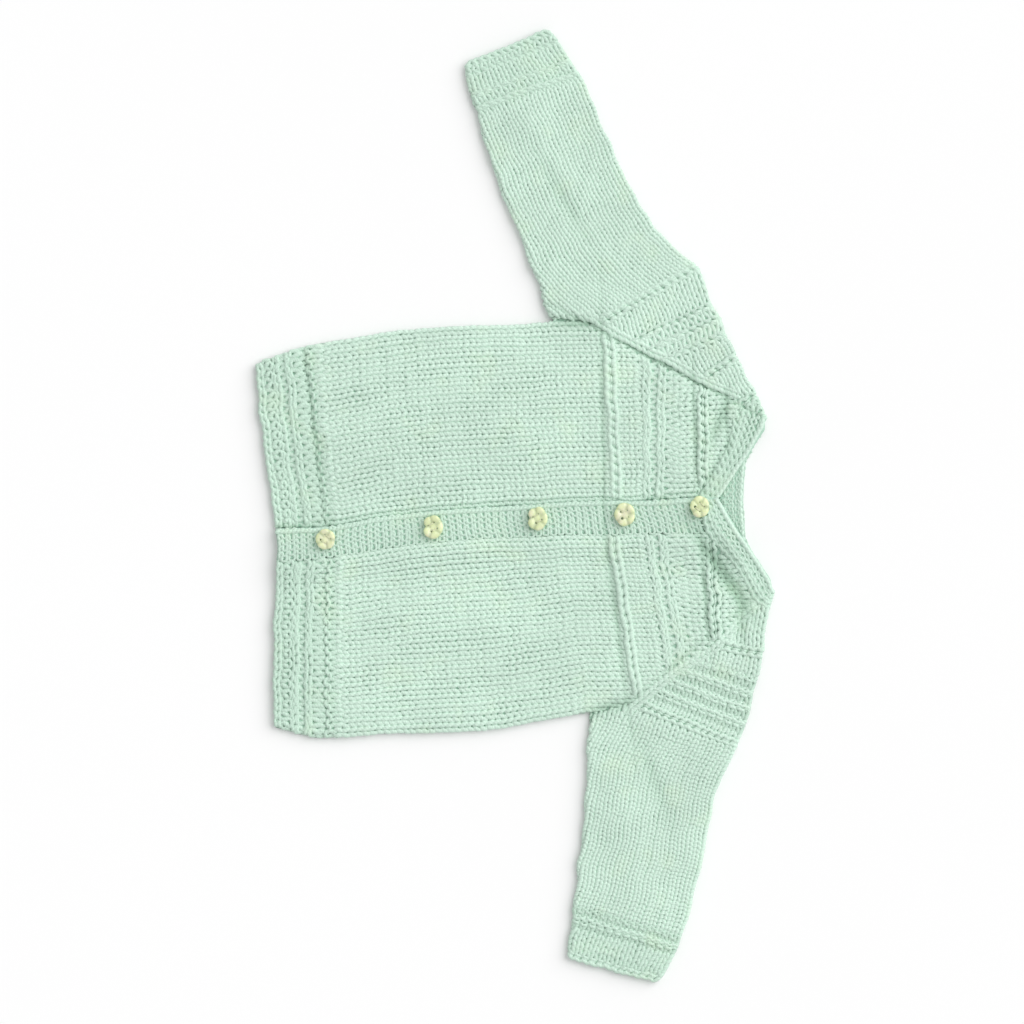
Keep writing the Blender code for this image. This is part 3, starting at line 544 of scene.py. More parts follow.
class StageSettings(bpy.types.PropertyGroup):
    """Table, light and camera."""

    floor: bpy.props.FloatVectorProperty(
        name="Table", description="Colour of the table", subtype="COLOR", size=3,
        default=(0.95, 0.95, 0.95))
    key: bpy.props.FloatProperty(
        name="Key light", description="Strength of the broad main light", default=2.03)
    turn: bpy.props.FloatProperty(
        name="Light turn", description="Compass direction that the main light comes from",
        subtype="ANGLE", default=math.radians(120))
    slope: bpy.props.FloatProperty(
        name="Light height", description="Angle of the main light over the table",
        subtype="ANGLE", default=math.radians(40))
    spread: bpy.props.FloatProperty(
        name="Light spread", description="Angle over which the main light is spread",
        subtype="ANGLE", default=math.radians(60))
    world: bpy.props.FloatProperty(
        name="Surround", description="Strength of the light all round", default=0.635)
    distance: bpy.props.FloatProperty(
        name="Camera height", description="Height of the camera over the table",
        unit="LENGTH", default=2.0)
    width: bpy.props.FloatProperty(
        name="Picture width", description="Width of table that the picture takes in",
        unit="LENGTH", default=0.5632)


# Plan of the pieces.


def smooth(t):
    """Share of the way from 0 to 1, with a gentle start and end."""
    t = np.clip(t, 0.0, 1.0)
    return t * t * (3 - 2 * t)


def between(s, marks, table):
    """Rows of a table at s, straight between the marks that its rows belong to."""
    return np.column_stack([np.interp(s, marks, column) for column in table.T])


def running(steps):
    """Distances along a line from its start to the end of each step."""
    return np.concatenate([[0.0], np.cumsum(steps)])


def lengths(path):
    """Length of a path from its start to each of its points."""
    return running(np.linalg.norm(np.diff(path, axis=0), axis=1))


def unit(vectors, least=1e-9):
    """The same directions at length 1."""
    return vectors / np.maximum(np.linalg.norm(vectors, axis=1), least)[:, None]


def spacing(first, second):
    """Distances in plan between partners."""
    return np.hypot(*(second - first).T)


def upright(count):
    """Normals that point up."""
    return np.tile(UPRIGHT, (count, 1))


def eased(x, xs, ys):
    """Shape-keeping cubic through (xs, ys), with the values ys as columns."""
    step = np.diff(xs)[:, None]
    slope = np.diff(ys, axis=0) / step
    before, after = slope[:-1], slope[1:]
    same = before * after > 0
    weight_a = 2 * step[1:] + step[:-1]
    weight_b = step[1:] + 2 * step[:-1]
    safe_before = np.where(same, before, 1.0)
    safe_after = np.where(same, after, 1.0)
    inner = (weight_a + weight_b) / (weight_a / safe_before + weight_b / safe_after)
    tangent = np.vstack([slope[:1], np.where(same, inner, 0.0), slope[-1:]])
    i = np.clip(np.searchsorted(xs, x, side="right") - 1, 0, len(xs) - 2)
    width = step[i]
    t = ((x - xs[i]) / width[:, 0])[:, None]
    start = (1 + 2 * t) * (1 - t) ** 2 * ys[i] + t * (1 - t) ** 2 * width * tangent[i]
    end = t * t * (3 - 2 * t) * ys[i + 1] + t * t * (t - 1) * width * tangent[i + 1]
    return start + end


def straight(x, xs, ys):
    """Straight lines through (xs, ys) that run on past both ends."""
    xs, ys = np.asarray(xs, float), np.asarray(ys, float)
    i = np.clip(np.searchsorted(xs, x, side="right") - 1, 0, len(xs) - 2)
    t = ((x - xs[i]) / (xs[i + 1] - xs[i]))[:, None]
    return ys[i] * (1 - t) + ys[i + 1] * t


def split(table):
    """A table's first column, and the others."""
    table = np.array(table)
    return table[:, 0], table[:, 1:]


def edge_points(courses, table, yoke, underarm, yoke_columns):
    """Two edge points of each row, eased up to the underarm and then straight."""
    low, low_rows = split(table)
    high, high_rows = split(yoke)
    below = eased(np.clip(courses, 0.0, underarm), low, low_rows[:, 0:4])
    past = np.minimum(courses, 0.0)[:, None]
    hem = (low_rows[1, 0:4] - low_rows[0, 0:4]) / (low[1] - low[0])
    below = below + past * hem
    join = straight(courses, low, low_rows[:, 0:4])
    above = straight(courses, high, high_rows[:, yoke_columns])
    below = np.where((courses < underarm)[:, None], below, join)
    points = np.where((courses < YOKE)[:, None], below, above)
    return points[:, 0:2], points[:, 2:4]


def front_edges(courses, body, yoke):
    """Side and centre edge of a front."""
    return edge_points(courses, body, yoke, UNDERARM, [0, 1, 2, 3])


def sleeve_edges(courses, sleeve, yoke):
    """Inner seam and outer fold of a sleeve."""
    return edge_points(courses, sleeve, yoke, SLEEVE_UNDERARM, [0, 1, 4, 5])


def band_side(y, body, yoke):
    """X of a front's centre edge at these heights."""
    _, centre = front_edges(np.linspace(0.0, NECK_START, 151), body, yoke)
    return np.interp(y, centre[:, 1], centre[:, 0])


def rise(x, y):
    """How far the left front climbs towards the overlapping band."""
    return LAYER * (1 - smooth((x - band_side(y, BODY_LEFT, YOKE_LEFT)) / RISE_LENGTH))


def wavy(points, share=1.0):
    """Points shifted in plan by a share of the waviness of the stitches."""
    x, y = points[:, 0].copy(), points[:, 1].copy()
    for length, reach, turn, phase in WAVES:
        wave = math.tau * (x * math.cos(turn) + y * math.sin(turn)) / length + phase
        points[:, 0] += share * reach * np.sin(wave + WAVE_SWAY * np.sin(y / SWAY_Y))
        points[:, 1] += share * reach * np.cos(1.3 * wave + WAVE_SWAY * np.sin(x / SWAY_X))
    return points


def lift(x, y, table=LIFTS + FOLDS):
    """Height of the soft creases over a plan point."""
    total = np.zeros_like(x)
    for cx, cy, turn, length, width, height in table:
        c, s = math.cos(math.radians(turn)), math.sin(math.radians(turn))
        along = ((x - cx) * c + (y - cy) * s) / length
        across = ((y - cy) * c - (x - cx) * s) / width
        total = total + height * np.exp(-along ** 2 - across ** 2)
    return total


def raised(points, waviness=1.0):
    """Points with the creases added to the share of them that lies in the top layer."""
    share = np.clip((points[:, 2] - Z_BACK) / LAYER, 0.0, 1.0)
    points[:, 2] += share * lift(points[:, 0], points[:, 1])
    return wavy(points, waviness)


def rolled(along, height, tilt, origin, direction):
    """Points and normals from a row's profile: distance along it, height and lean."""
    points = np.column_stack([origin + along[:, None] * direction, height])
    normal = np.column_stack([np.sin(tilt)[:, None] * direction, np.cos(tilt)])
    return points, normal


def free_share(courses, underarm):
    """How free a side is to turn: wholly below the underarm, and not at a raglan line."""
    return 1 - smooth((courses - underarm + UNDERARM_BLEND) / UNDERARM_BLEND)


def bent(past):
    """Angle that cloth has turned where it has run this far past the start of its bend."""
    return np.minimum(np.maximum(past, 0.0) / BEND, math.pi / 2)


# Each place_ function makes a function place, which takes columns w and courses c and gives the
# middle points of the cloth there, in millimetres, and its outward normals. Some also make a
# function span, which gives the columns where a course starts and ends.


def place_front(body, yoke, start, climbs):
    """Left or right front: w counts from its centre edge, c from the hem."""
    pitches = spacing(*front_edges(BODY_GRID, body, yoke)) / FRONT_COLUMNS
    sag_courses, sags = split(body)[0], split(body)[1][:, 4]
    seam = np.array(NECK_FRONT_LEFT if climbs else NECK_FRONT_RIGHT)[:, 0:2]
    seam = seam[np.argsort(seam[:, 0])]

    def edges(c):
        side, centre = front_edges(c, body, yoke)
        shaped = straight(c, *split(start))
        centre = np.where((c > NECK_START)[:, None], shaped, centre)
        return side, centre, spacing(side, centre)

    def place(w, c):
        side, centre, width = edges(c)
        direction = (side - centre) / width[:, None]
        s = w * np.interp(c, BODY_GRID, pitches)
        free = free_share(c, UNDERARM)
        flat = width - free * EDGE
        turn = bent(s - flat) * free
        along = np.where(turn > 0, flat + BEND * np.sin(turn), np.minimum(s, width + OVERRUN))
        height = Z_FRONT - BEND * (1 - np.cos(turn))
        points, normal = rolled(along, height, turn, centre, direction)
        part = np.clip(along / width, 0.0, 1.0)
        points[:, 1] -= np.interp(c, sag_courses, sags) * 4 * part * (1 - part)
        if climbs:
            points[:, 2] += rise(points[:, 0], points[:, 1])
        return raised(points), normal

    def span(c):
        width = edges(np.array([c]))[2][0]
        pitch = np.interp(c, BODY_GRID, pitches)
        free = free_share(c, UNDERARM)
        end = (width - SEAM + free * TURN_GAIN + (1 - free) * RAGLAN_TUCK) / pitch
        if c <= NECK_START:
            return SEAM / pitch, end
        w = np.linspace(0.0, end, 120)
        points, _ = place(w, np.full(len(w), c))
        inside = points[:, 1] < np.interp(points[:, 0], seam[:, 0], seam[:, 1]) + NECK_TUCK
        return (w[inside][0], end) if inside.any() else (0.0, 0.0)

    return place, span


def back_neck(share):
    """Neck edge of the back at shares of the way from its right raglan to its left."""
    table = np.array(NECK_BACK)[:, 0:2]
    reach = table[-1] - table[0]
    return between(share, (table - table[0]) @ reach / (reach @ reach), table)


def place_back():
    """Back, seen from below: w counts from its middle, c from the hem."""

    def sides(c):
        right, _ = front_edges(c, BODY_RIGHT, YOKE_RIGHT)
        left, _ = front_edges(c, BODY_LEFT, YOKE_LEFT)
        return right, left, spacing(right, left)

    pitches = sides(BODY_GRID)[2] / BACK_COLUMNS
    first, last = back_neck(np.array([0.0, 1.0]))

    def place(w, c):
        right, left, width = sides(c)
        direction = (left - right) / width[:, None]
        s = w * np.interp(c, BODY_GRID, pitches)
        free = free_share(c, UNDERARM)
        flat = width / 2 - free * EDGE
        turn = bent(np.abs(s) - flat) * free
        along = np.where(turn > 0, flat + BEND * np.sin(turn), np.abs(s)) * np.sign(s)
        height = Z_BACK + BEND * (1 - np.cos(turn))
        points, normal = rolled(along, height, math.pi - turn * np.sign(s), (right + left) / 2,
                                direction)
        part = np.clip(along / width + 0.5, 0.0, 1.0)
        sag = BACK_HEM_SAG * np.clip(1 - c / UNDERARM, 0.0, 1.0)
        points[:, 1] -= sag * 4 * part * (1 - part)
        dip = back_neck(part) - first * (1 - part[:, None]) - last * part[:, None]
        points[:, 0:2] += smooth((c - YOKE) / (NECK - YOKE))[:, None] * dip
        return points, normal

    def span(c):
        width = sides(np.array([c]))[2][0]
        end = width / 2 - SEAM + free_share(c, UNDERARM) * TURN_GAIN
        end = end / np.interp(c, BODY_GRID, pitches)
        return -end, end

    return place, span


def place_sleeve(sleeve, yoke):
    """Sleeve: w counts round it from its outer fold, up on top and down on the underside."""

    def edges(c):
        inner, outer = sleeve_edges(c, sleeve, yoke)
        width = spacing(inner, outer)
        narrow = np.minimum(SLEEVE_PITCH, width / CUFF_COLUMNS)
        return inner, outer, width, np.where(c > SLEEVE_SHAPED, SLEEVE_PITCH, narrow)

    def place(w, c):
        inner, outer, width, pitch = edges(c)
        direction = (outer - inner) / width[:, None]
        s = np.abs(w) * pitch
        up = np.where(w >= 0, 1.0, -1.0)
        turn = bent(s)
        along = width - CROWN - BEND + BEND * np.cos(turn) - np.maximum(s - QUARTER, 0.0)
        free = free_share(c, SLEEVE_UNDERARM)
        edge = free * EDGE
        under = bent(edge - along) * free
        along = np.where(under > 0, edge - BEND * np.sin(under), along)
        height = BEND * np.sin(turn) - BEND * (1 - np.cos(under))
        lean = math.pi / 2 - turn - under
        tilt = np.where(up > 0, lean, math.pi - lean)
        points, normal = rolled(along, Z_BACK + BEND + up * height, tilt, inner, direction)
        onward = sleeve_edges(c + 1.0, sleeve, yoke)[0] - inner
        near = np.clip(1 - np.minimum(along, width - along) / CORNER, 0.0, 1.0)
        low = np.clip(1 - c / CORNER_COURSES, 0.0, 1.0)
        back_off = CORNER * (1 - np.sqrt(1 - near ** 2)) * low
        points[:, 0:2] += (back_off / np.hypot(*onward.T))[:, None] * onward
        return raised(points), normal

    def span(c):
        _, _, width, pitch = edges(np.array([c]))
        free = free_share(c, SLEEVE_UNDERARM)
        end = width - CROWN - BEND + QUARTER - SEAM + free * TURN_GAIN
        top = end - (1 - free) * (RAGLAN_WIDTH - RAGLAN_OVERLAP)
        return -(end / pitch)[0], (top / pitch)[0]

    return place, span


def place_raglan(yoke, side):
    """Column of stitches on the sleeve's side of a raglan line: w across it, c along it."""
    courses = np.linspace(YOKE - RAGLAN_BELOW, NECK, 40)
    line = straight(courses, *split(yoke))[:, 0:2]
    marks = running(spacing(line[:-1], line[1:]))
    # Direction of the line within the yoke.
    along = line[-1] - line[4]
    along = along / np.hypot(*along)
    away = np.array([-along[1], along[0]]) * side

    def place(w, c):
        plan = between(c / len(RAGLAN_ROWS) * marks[-1], marks, line)
        plan = plan + (RAGLAN_GAP + w * RAGLAN_WIDTH)[:, None] * away
        points = np.column_stack([plan, np.full(len(w), Z_FRONT)])
        return raised(points), upright(len(w))

    return place


def place_band(top_right, top_left, level):
    """Front band: w runs up it from the hem, c across it from its left seam."""

    def place(w, c):
        part = w / BAND_COLUMNS
        across = c / BAND_COURSES
        y_right = BAND_BOTTOM + part * (top_right - BAND_TRIM - BAND_BOTTOM)
        y_left = BAND_BOTTOM + part * (top_left - BAND_TRIM - BAND_BOTTOM)
        right = np.column_stack([band_side(y_right, BODY_RIGHT, YOKE_RIGHT), y_right])
        left = np.column_stack([band_side(y_left, BODY_LEFT, YOKE_LEFT) - SEAM, y_left])
        plan = left * (1 - across[:, None]) + right * across[:, None]
        points = np.column_stack([plan, np.full(len(w), level)])
        return raised(points), upright(len(w))

    return place


def neck_stations():
    """Lines across the neckband in order, each with its height and lean, folds included."""
    stations = []

    def lay(rows, height, tilt):
        for row in rows:
            stations.append((np.array(row, float), height, np.array([0.0, 0.0, tilt])))

    def fold(row, angles):
        seam, free = np.array(row[0:2]), np.array(row[2:4])
        along = (free - seam) / np.hypot(*(free - seam))
        outward = np.array([-along[1], along[0]])
        outward = outward if outward[1] > 0 else -outward
        seam = seam + along * SHOULDER_TRIM
        for angle in angles:
            shift = outward * (BEND * math.sin(angle) - BEND - CROWN)
            tilt = np.array([*(outward * math.sin(angle)), math.cos(angle)])
            line = np.concatenate([seam + shift, free + shift])
            stations.append((line, Z_BACK + BEND + BEND * math.cos(angle), tilt))

    lay(NECK_FRONT_RIGHT, Z_FRONT, 1.0)
    fold(NECK_SHOULDER_RIGHT, FOLD_ANGLES)
    lay(NECK_BACK, Z_BACK, -1.0)
    fold(NECK_SHOULDER_LEFT, FOLD_ANGLES[::-1])
    first_left = len(stations)
    lay(NECK_FRONT_LEFT, Z_FRONT, 1.0)
    return stations, first_left


def place_neckband():
    """Neckband: w runs along it from its hidden right end, c across it from the seam.

    The count of its columns comes with it, and the columns at both ends of the back.
    """
    stations, first_left = neck_stations()
    lines, heights, tilts = [np.array(column) for column in zip(*stations)]
    middle = (lines[:, 0:2] + lines[:, 2:4]) / 2
    marks = running(spacing(middle[:-1], middle[1:]) + np.abs(np.diff(heights)))
    count = round(marks[-1] / NECK_PITCH)
    pitch = marks[-1] / count
    last_back = first_left - len(FOLD_ANGLES) - 1
    back = (marks[last_back + 1 - len(NECK_BACK)] / pitch, marks[last_back] / pitch)

    def place(w, c):
        s = w * pitch
        line = between(s, marks, lines)
        normal = unit(between(s, marks, tilts), 1e-6)
        seam, free = line[:, 0:2], line[:, 2:4]
        across = (NECKBAND_TUCK + c) / (NECK_COURSES + NECKBAND_TUCK)
        plan = seam + across[:, None] * (free - seam)
        points = np.column_stack([plan, np.interp(s, marks, heights)])
        points[:, 2] += rise(points[:, 0], points[:, 1]) * (s >= marks[first_left])
        return raised(points, NECKBAND_WAVE), normal

    return place, count, back


# Yarn.


class Strands:
    """Gathers tubes of yarn into one mesh."""

    def __init__(self, sides):
        self.sides = sides
        self.points, self.corners, self.starts, self.uvs, self.tones = [], [], [], [], []
        self.count, self.loops = 0, 0

    def add(self, path, normal, wide, thick, phase, tone=1.0):
        """One strand along a path, flattened to these half widths, with painted shade in the
        valleys of the creases.
        """
        sides, n = self.sides, len(path)
        tangent = unit(np.gradient(path, axis=0))
        across = unit(np.cross(tangent, normal))
        up = np.cross(across, tangent)
        angle = math.tau * (np.arange(sides) + 0.5) / sides
        wide = np.broadcast_to(wide, n)[:, None, None]
        thick = np.broadcast_to(thick, n)[:, None, None]
        ring = (path[:, None, :] + across[:, None, :] * np.cos(angle)[None, :, None] * wide
                + up[:, None, :] * np.sin(angle)[None, :, None] * thick)
        grid = self.count + np.arange(n * sides).reshape(n, sides)
        a = grid[:-1]
        b = np.roll(a, -1, axis=1)
        d = grid[1:]
        c = np.roll(d, -1, axis=1)
        quads = np.stack([a, b, c, d], axis=-1).reshape(-1, 4)
        u = np.arange(sides + 1) / sides
        v = lengths(path) + phase
        corner = np.zeros((n - 1, sides, 4, 2))
        corner[..., 0, 0] = corner[..., 3, 0] = u[:-1]
        corner[..., 1, 0] = corner[..., 2, 0] = u[1:]
        corner[..., 0, 1] = corner[..., 1, 1] = v[:-1, None]
        corner[..., 3, 1] = corner[..., 2, 1] = v[1:, None]
        caps = np.concatenate([grid[0, ::-1], grid[-1]])
        self.points.append(ring.reshape(-1, 3))
        self.corners += [quads.ravel(), caps]
        starts = self.loops + np.arange(len(quads)) * 4
        ends = self.loops + len(quads) * 4 + np.array([0, sides])
        self.starts += [starts, ends]
        self.uvs += [corner.reshape(-1, 2), np.zeros((2 * sides, 2))]
        # Painted shade in the valleys of the folds, for the share of the strand in the top layer.
        crease = lift(path[:, 0], path[:, 1], VALLEYS) * np.clip(path[:, 2] / LAYER, 0.0, 1.0)
        self.tones.append(np.repeat(tone * (1 + CREASE_SHADE * crease), sides))
        self.count += n * sides
        self.loops += len(quads) * 4 + 2 * sides

    def mesh(self, name):
        mesh = bpy.data.meshes.new(name)
        mesh.vertices.add(self.count)
        points = np.concatenate(self.points)
        points[:, 2] = np.maximum(points[:, 2], 0.0)
        mesh.vertices.foreach_set("co", (points * MM).ravel())
        mesh.loops.add(self.loops)
        starts = np.concatenate(self.starts)
        mesh.polygons.add(len(starts))
        mesh.polygons.foreach_set("loop_start", starts.astype(np.int32))
        mesh.polygons.foreach_set("vertices", np.concatenate(self.corners).astype(np.int32))
        mesh.update(calc_edges=True)
        layer = mesh.uv_layers.new(name="yarn")
        layer.data.foreach_set("uv", np.concatenate(self.uvs).ravel())
        tones = mesh.attributes.new("tone", "FLOAT", "POINT")
        tones.data.foreach_set("value", np.concatenate(self.tones).astype(np.float32))
        mesh.shade_smooth()
        return mesh


def rows_to(top, *bands):
    """Rows up to a course: textured ones as given, and plain ones evenly between them."""
    rows = list(bands[0])
    for band in (*bands[1:], ()):
        first = rows[-1][0]
        reach = (band[0][0] if band else NECK_ROWS_START) - first
        count = max(round(reach), 1)
        gap = reach / count
        rows += [(first + gap * (k + 1), gap, *PLAIN) for k in range(count - 1)]
        rows += band
    for mark in np.arange(NECK_ROWS_START, top + 0.05, NECK_GAP):
        rows.append((mark, NECK_GAP, *PLAIN))
    return rows


def plain(rows):
    """The same rows without their raises, as on a side that lies on the table."""
    return [(*row[:3], 0.0, *row[4:]) for row in rows]


def cleared(rows, ridges):
    """Rows without those whose place is under the ridges."""
    share, margin = RIDGE_CLEARANCE
    return [row for row in rows if all(abs(row[0] - course) > share * apart + margin
                                       for course, apart, _, _ in ridges)]


def steady(start, end):
    """Span of a piece whose rows all start and end at the same columns."""
    return lambda c: (start, end)


def tucked(w, depth, reach):
    """How deep the ends of a row are tucked in."""
    return depth * np.exp(-(np.minimum(w - w[0], w[-1] - w) / reach) ** 2)


class Stray:
    """Random unevenness of a row's stitches, smooth from one stitch to the next."""

    def __init__(self, noise, w):
        self.noise, self.w = noise, w
        self.knots = np.arange(math.floor(w[0]) - 1, math.ceil(w[-1]) + 3)

    def draw(self, spread=1.0):
        drawn = self.noise.normal(0.0, spread, len(self.knots))
        return np.interp(self.w, self.knots, drawn)


def knit(strands, place, span, rows, yarn, seed, steps=10, fine=1.0, close=0.0,
         border=(0.0, 1.0)):
    """Leads one strand through each row's loops, whose legs close up by a share of a stitch.

    The border holds the course up to which the rows get painted shade, and the share of colour
    that they keep.
    """
    noise = np.random.default_rng(seed)
    even = yarn.uneven
    for number, (course, gap, purl, raise_by, wide, stout, lean) in enumerate(rows):
        start, end = span(course)
        if end - start < SHORTEST_ROW:
            continue
        _, _, purl_above, raise_above, *_ = rows[min(number + 1, len(rows) - 1)]
        first, last = start / wide, end / wide
        w = np.linspace(first, last, int(math.ceil((last - first) * steps)) + 1)
        stray = Stray(noise, w)
        leaning, taller, higher, aside, fuller = [stray.draw() for _ in range(5)]
        t = math.tau * w
        share = (1 + np.cos(t)) / 2
        side = (1 - 2 * purl) * share + (1 - 2 * purl_above) * (1 - share)
        textured = purl * share + purl_above * (1 - share)
        c = course - gap * (yarn.height * (1 + even * taller) * np.cos(t)
                            - even * (STRAY_UP * higher + STRAY_ROW * noise.normal()))
        swing = yarn.slant * lean * (1 + even * leaning) * np.sin(2 * t)
        column = w + swing + close * np.sin(t) + STRAY_ASIDE * even * aside
        points, normal = place(column * wide, c)
        out = side * -np.cos(2 * t)
        depth = yarn.depth / MM * fine * np.where(out < 0, 1 + PURL_DEEPER * textured, 1.0) * out
        inward = np.clip(np.minimum(w - first, last - w), 0.0, 1.0)
        height = (raise_by * share + raise_above * (1 - share)) * inward
        # A raised row bulges where its loops turn, and a sunk one is lowered all over.
        depth = depth + np.where(height > 0, height * (0.5 + 0.5 * np.cos(2 * t)), height)
        points = points + normal * (depth - tucked(w, *ROW_TUCK))[:, None]
        full = fine * stout * (1 + STRAY_FULL * even * fuller) * (1 - PURL_THINNER * textured)
        full = full * (1 - PUFF * np.cos(2 * t))
        # Painted shade for the border's rows and for sunk rows.
        tone = (border[1] if course < border[0] else 1.0) * (1 + SUNK_SHADE * min(raise_by, 0.0))
        strands.add(points, normal, yarn.width / MM * full, yarn.thickness / MM * full,
                    noise.uniform(0.0, TWIST_RANGE), tone)


def ridge(strands, place, span, course, apart, wide, level, seed, border):
    """Two stout strands along a course, and one between them that dips at every stitch."""
    # Painted shade of the border that a ridge lies in, or of the ridge.
    tone = border[1] if course < border[0] else RIDGE_SHADE
    noise = np.random.default_rng(seed)
    first, last = span(course)
    w = np.linspace(first, last, int((last - first) * 8) + 2)
    stray = Stray(noise, w)
    by_stitch, by_ridge, by_strand, by_fullness = RIDGE_STRAY
    tuck = tucked(w, *RIDGE_TUCK)
    phase = math.tau * (w + stray.draw(by_stitch))
    middle = stray.draw(by_ridge)
    for side in (-1.0, 1.0):
        sway = middle + stray.draw(by_strand)
        slanted = np.cos(phase + LAG * side)
        points, normal = place(w, course + side * (apart / 2 + PARTING * slanted) + sway)
        full = wide * (1 + by_fullness * stray.draw()) * (1 - BUMP * slanted)
        height = level - tuck - BUMP * slanted
        strands.add(points + normal * height[:, None], normal, full, full * RIDGE_FLATNESS,
                    noise.uniform(0.0, TWIST_RANGE), tone)
    points, normal = place(w, course + middle)
    dip = (MIDDLE_DIP + level) * (0.5 + 0.5 * np.cos(phase)) ** 2
    height = level + MIDDLE_RISE - tuck - dip
    strands.add(points + normal * height[:, None], normal, MIDDLE_WIDTH * wide,
                MIDDLE_THICKNESS * wide, noise.uniform(0.0, TWIST_RANGE), tone)


def add_ridges(strands, place, span, ridges, seed, border):
    """A piece's ridges, each with a seed of its own."""
    for number, values in enumerate(ridges):
        ridge(strands, place, span, *values, seed + number, border)


def edging(strands, place, span, course, level, seed, radius, wide, twist, tone=1.0):
    """Two strands twisted round each other along a course, as at a cast-off edge."""
    start, end = span(course)
    w = np.linspace(start, end, 90)
    points, normal = place(w, np.full(len(w), course))
    points = points + normal * level
    length = lengths(points)
    s = np.linspace(0.0, length[-1], int(length[-1] / twist * 8) + 2)
    line = between(s, length, points)
    up = unit(between(s, length, normal))
    across = unit(np.cross(np.gradient(line, axis=0), up))
    noise = np.random.default_rng(seed)
    for turn in (0.0, math.pi):
        angle = math.tau * s / twist + turn
        path = line + radius * (np.cos(angle)[:, None] * across + np.sin(angle)[:, None] * up)
        strands.add(path, up, wide, wide * EDGING_FLATNESS, noise.uniform(0.0, TWIST_RANGE), tone)


# Pieces.


def deselect():
    for item in bpy.context.selected_objects:
        item.select_set(False)


def pick(made):
    """Selects this object alone."""
    deselect()
    made.select_set(True)
    bpy.context.view_layer.objects.active = made


def linked(name, mesh, look):
    """Object of a mesh in the scene, with its material."""
    made = bpy.data.objects.new(name, mesh)
    bpy.context.scene.collection.objects.link(made)
    made.data.materials.append(look)
    return made


def stitches(name, strands, look):
    return linked(name, strands.mesh(name), look)


def cloth(name, place, span, courses, look, offset, thick, columns):
    """Thin closed cloth under the loops, on the middle surface moved in by offset.

    Its outer skin, inner skin and rim go round a grid of points, one row for each course.
    """
    middle, normals = [], []
    for course in courses:
        w = np.linspace(*span(course), columns)
        points, normal = place(w, np.full(columns, course))
        middle.append(points)
        normals.append(normal)
    middle, normals = np.array(middle), np.array(normals)
    outer = middle + normals * (offset + thick / 2)
    inner = middle + normals * (offset - thick / 2)
    points = np.concatenate([outer.reshape(-1, 3), inner.reshape(-1, 3)]) * MM
    count = len(courses) * columns
    grid = np.arange(count).reshape(len(courses), columns)
    a, b, c, d = grid[:-1, :-1], grid[:-1, 1:], grid[1:, 1:], grid[1:, :-1]
    top = np.stack([a, b, c, d], axis=-1).reshape(-1, 4)
    rim = np.concatenate([grid[0, :], grid[1:, -1], grid[-1, -2::-1], grid[-2:0:-1, 0]])
    after = np.roll(rim, -1)
    wall = np.stack([after, rim, rim + count, after + count], axis=-1)
    faces = np.concatenate([top, top[:, ::-1] + count, wall])
    mesh = bpy.data.meshes.new(name)
    mesh.from_pydata(points.tolist(), [], faces.tolist())
    mesh.update()
    layer = mesh.uv_layers.new(name="yarn")
    layer.data.foreach_set("uv", np.zeros(len(mesh.loops) * 2))
    made = linked(name, mesh, look)
    pick(made)
    bpy.ops.object.mode_set(mode="EDIT")
    bpy.ops.mesh.select_all(action="SELECT")
    bpy.ops.mesh.normals_make_consistent(inside=False)
    bpy.ops.object.mode_set(mode="OBJECT")
    bpy.ops.object.shade_smooth()
    return made


def add_to_body(made):
    """Rides on the cardigan's body."""
    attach(made, BODY)


def finish_piece(piece, node, loops):
    """Rides one knitted piece and its loops on the body, and hides the node that they replace."""
    for made in (piece, *loops):
        add_to_body(made)
    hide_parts(node)


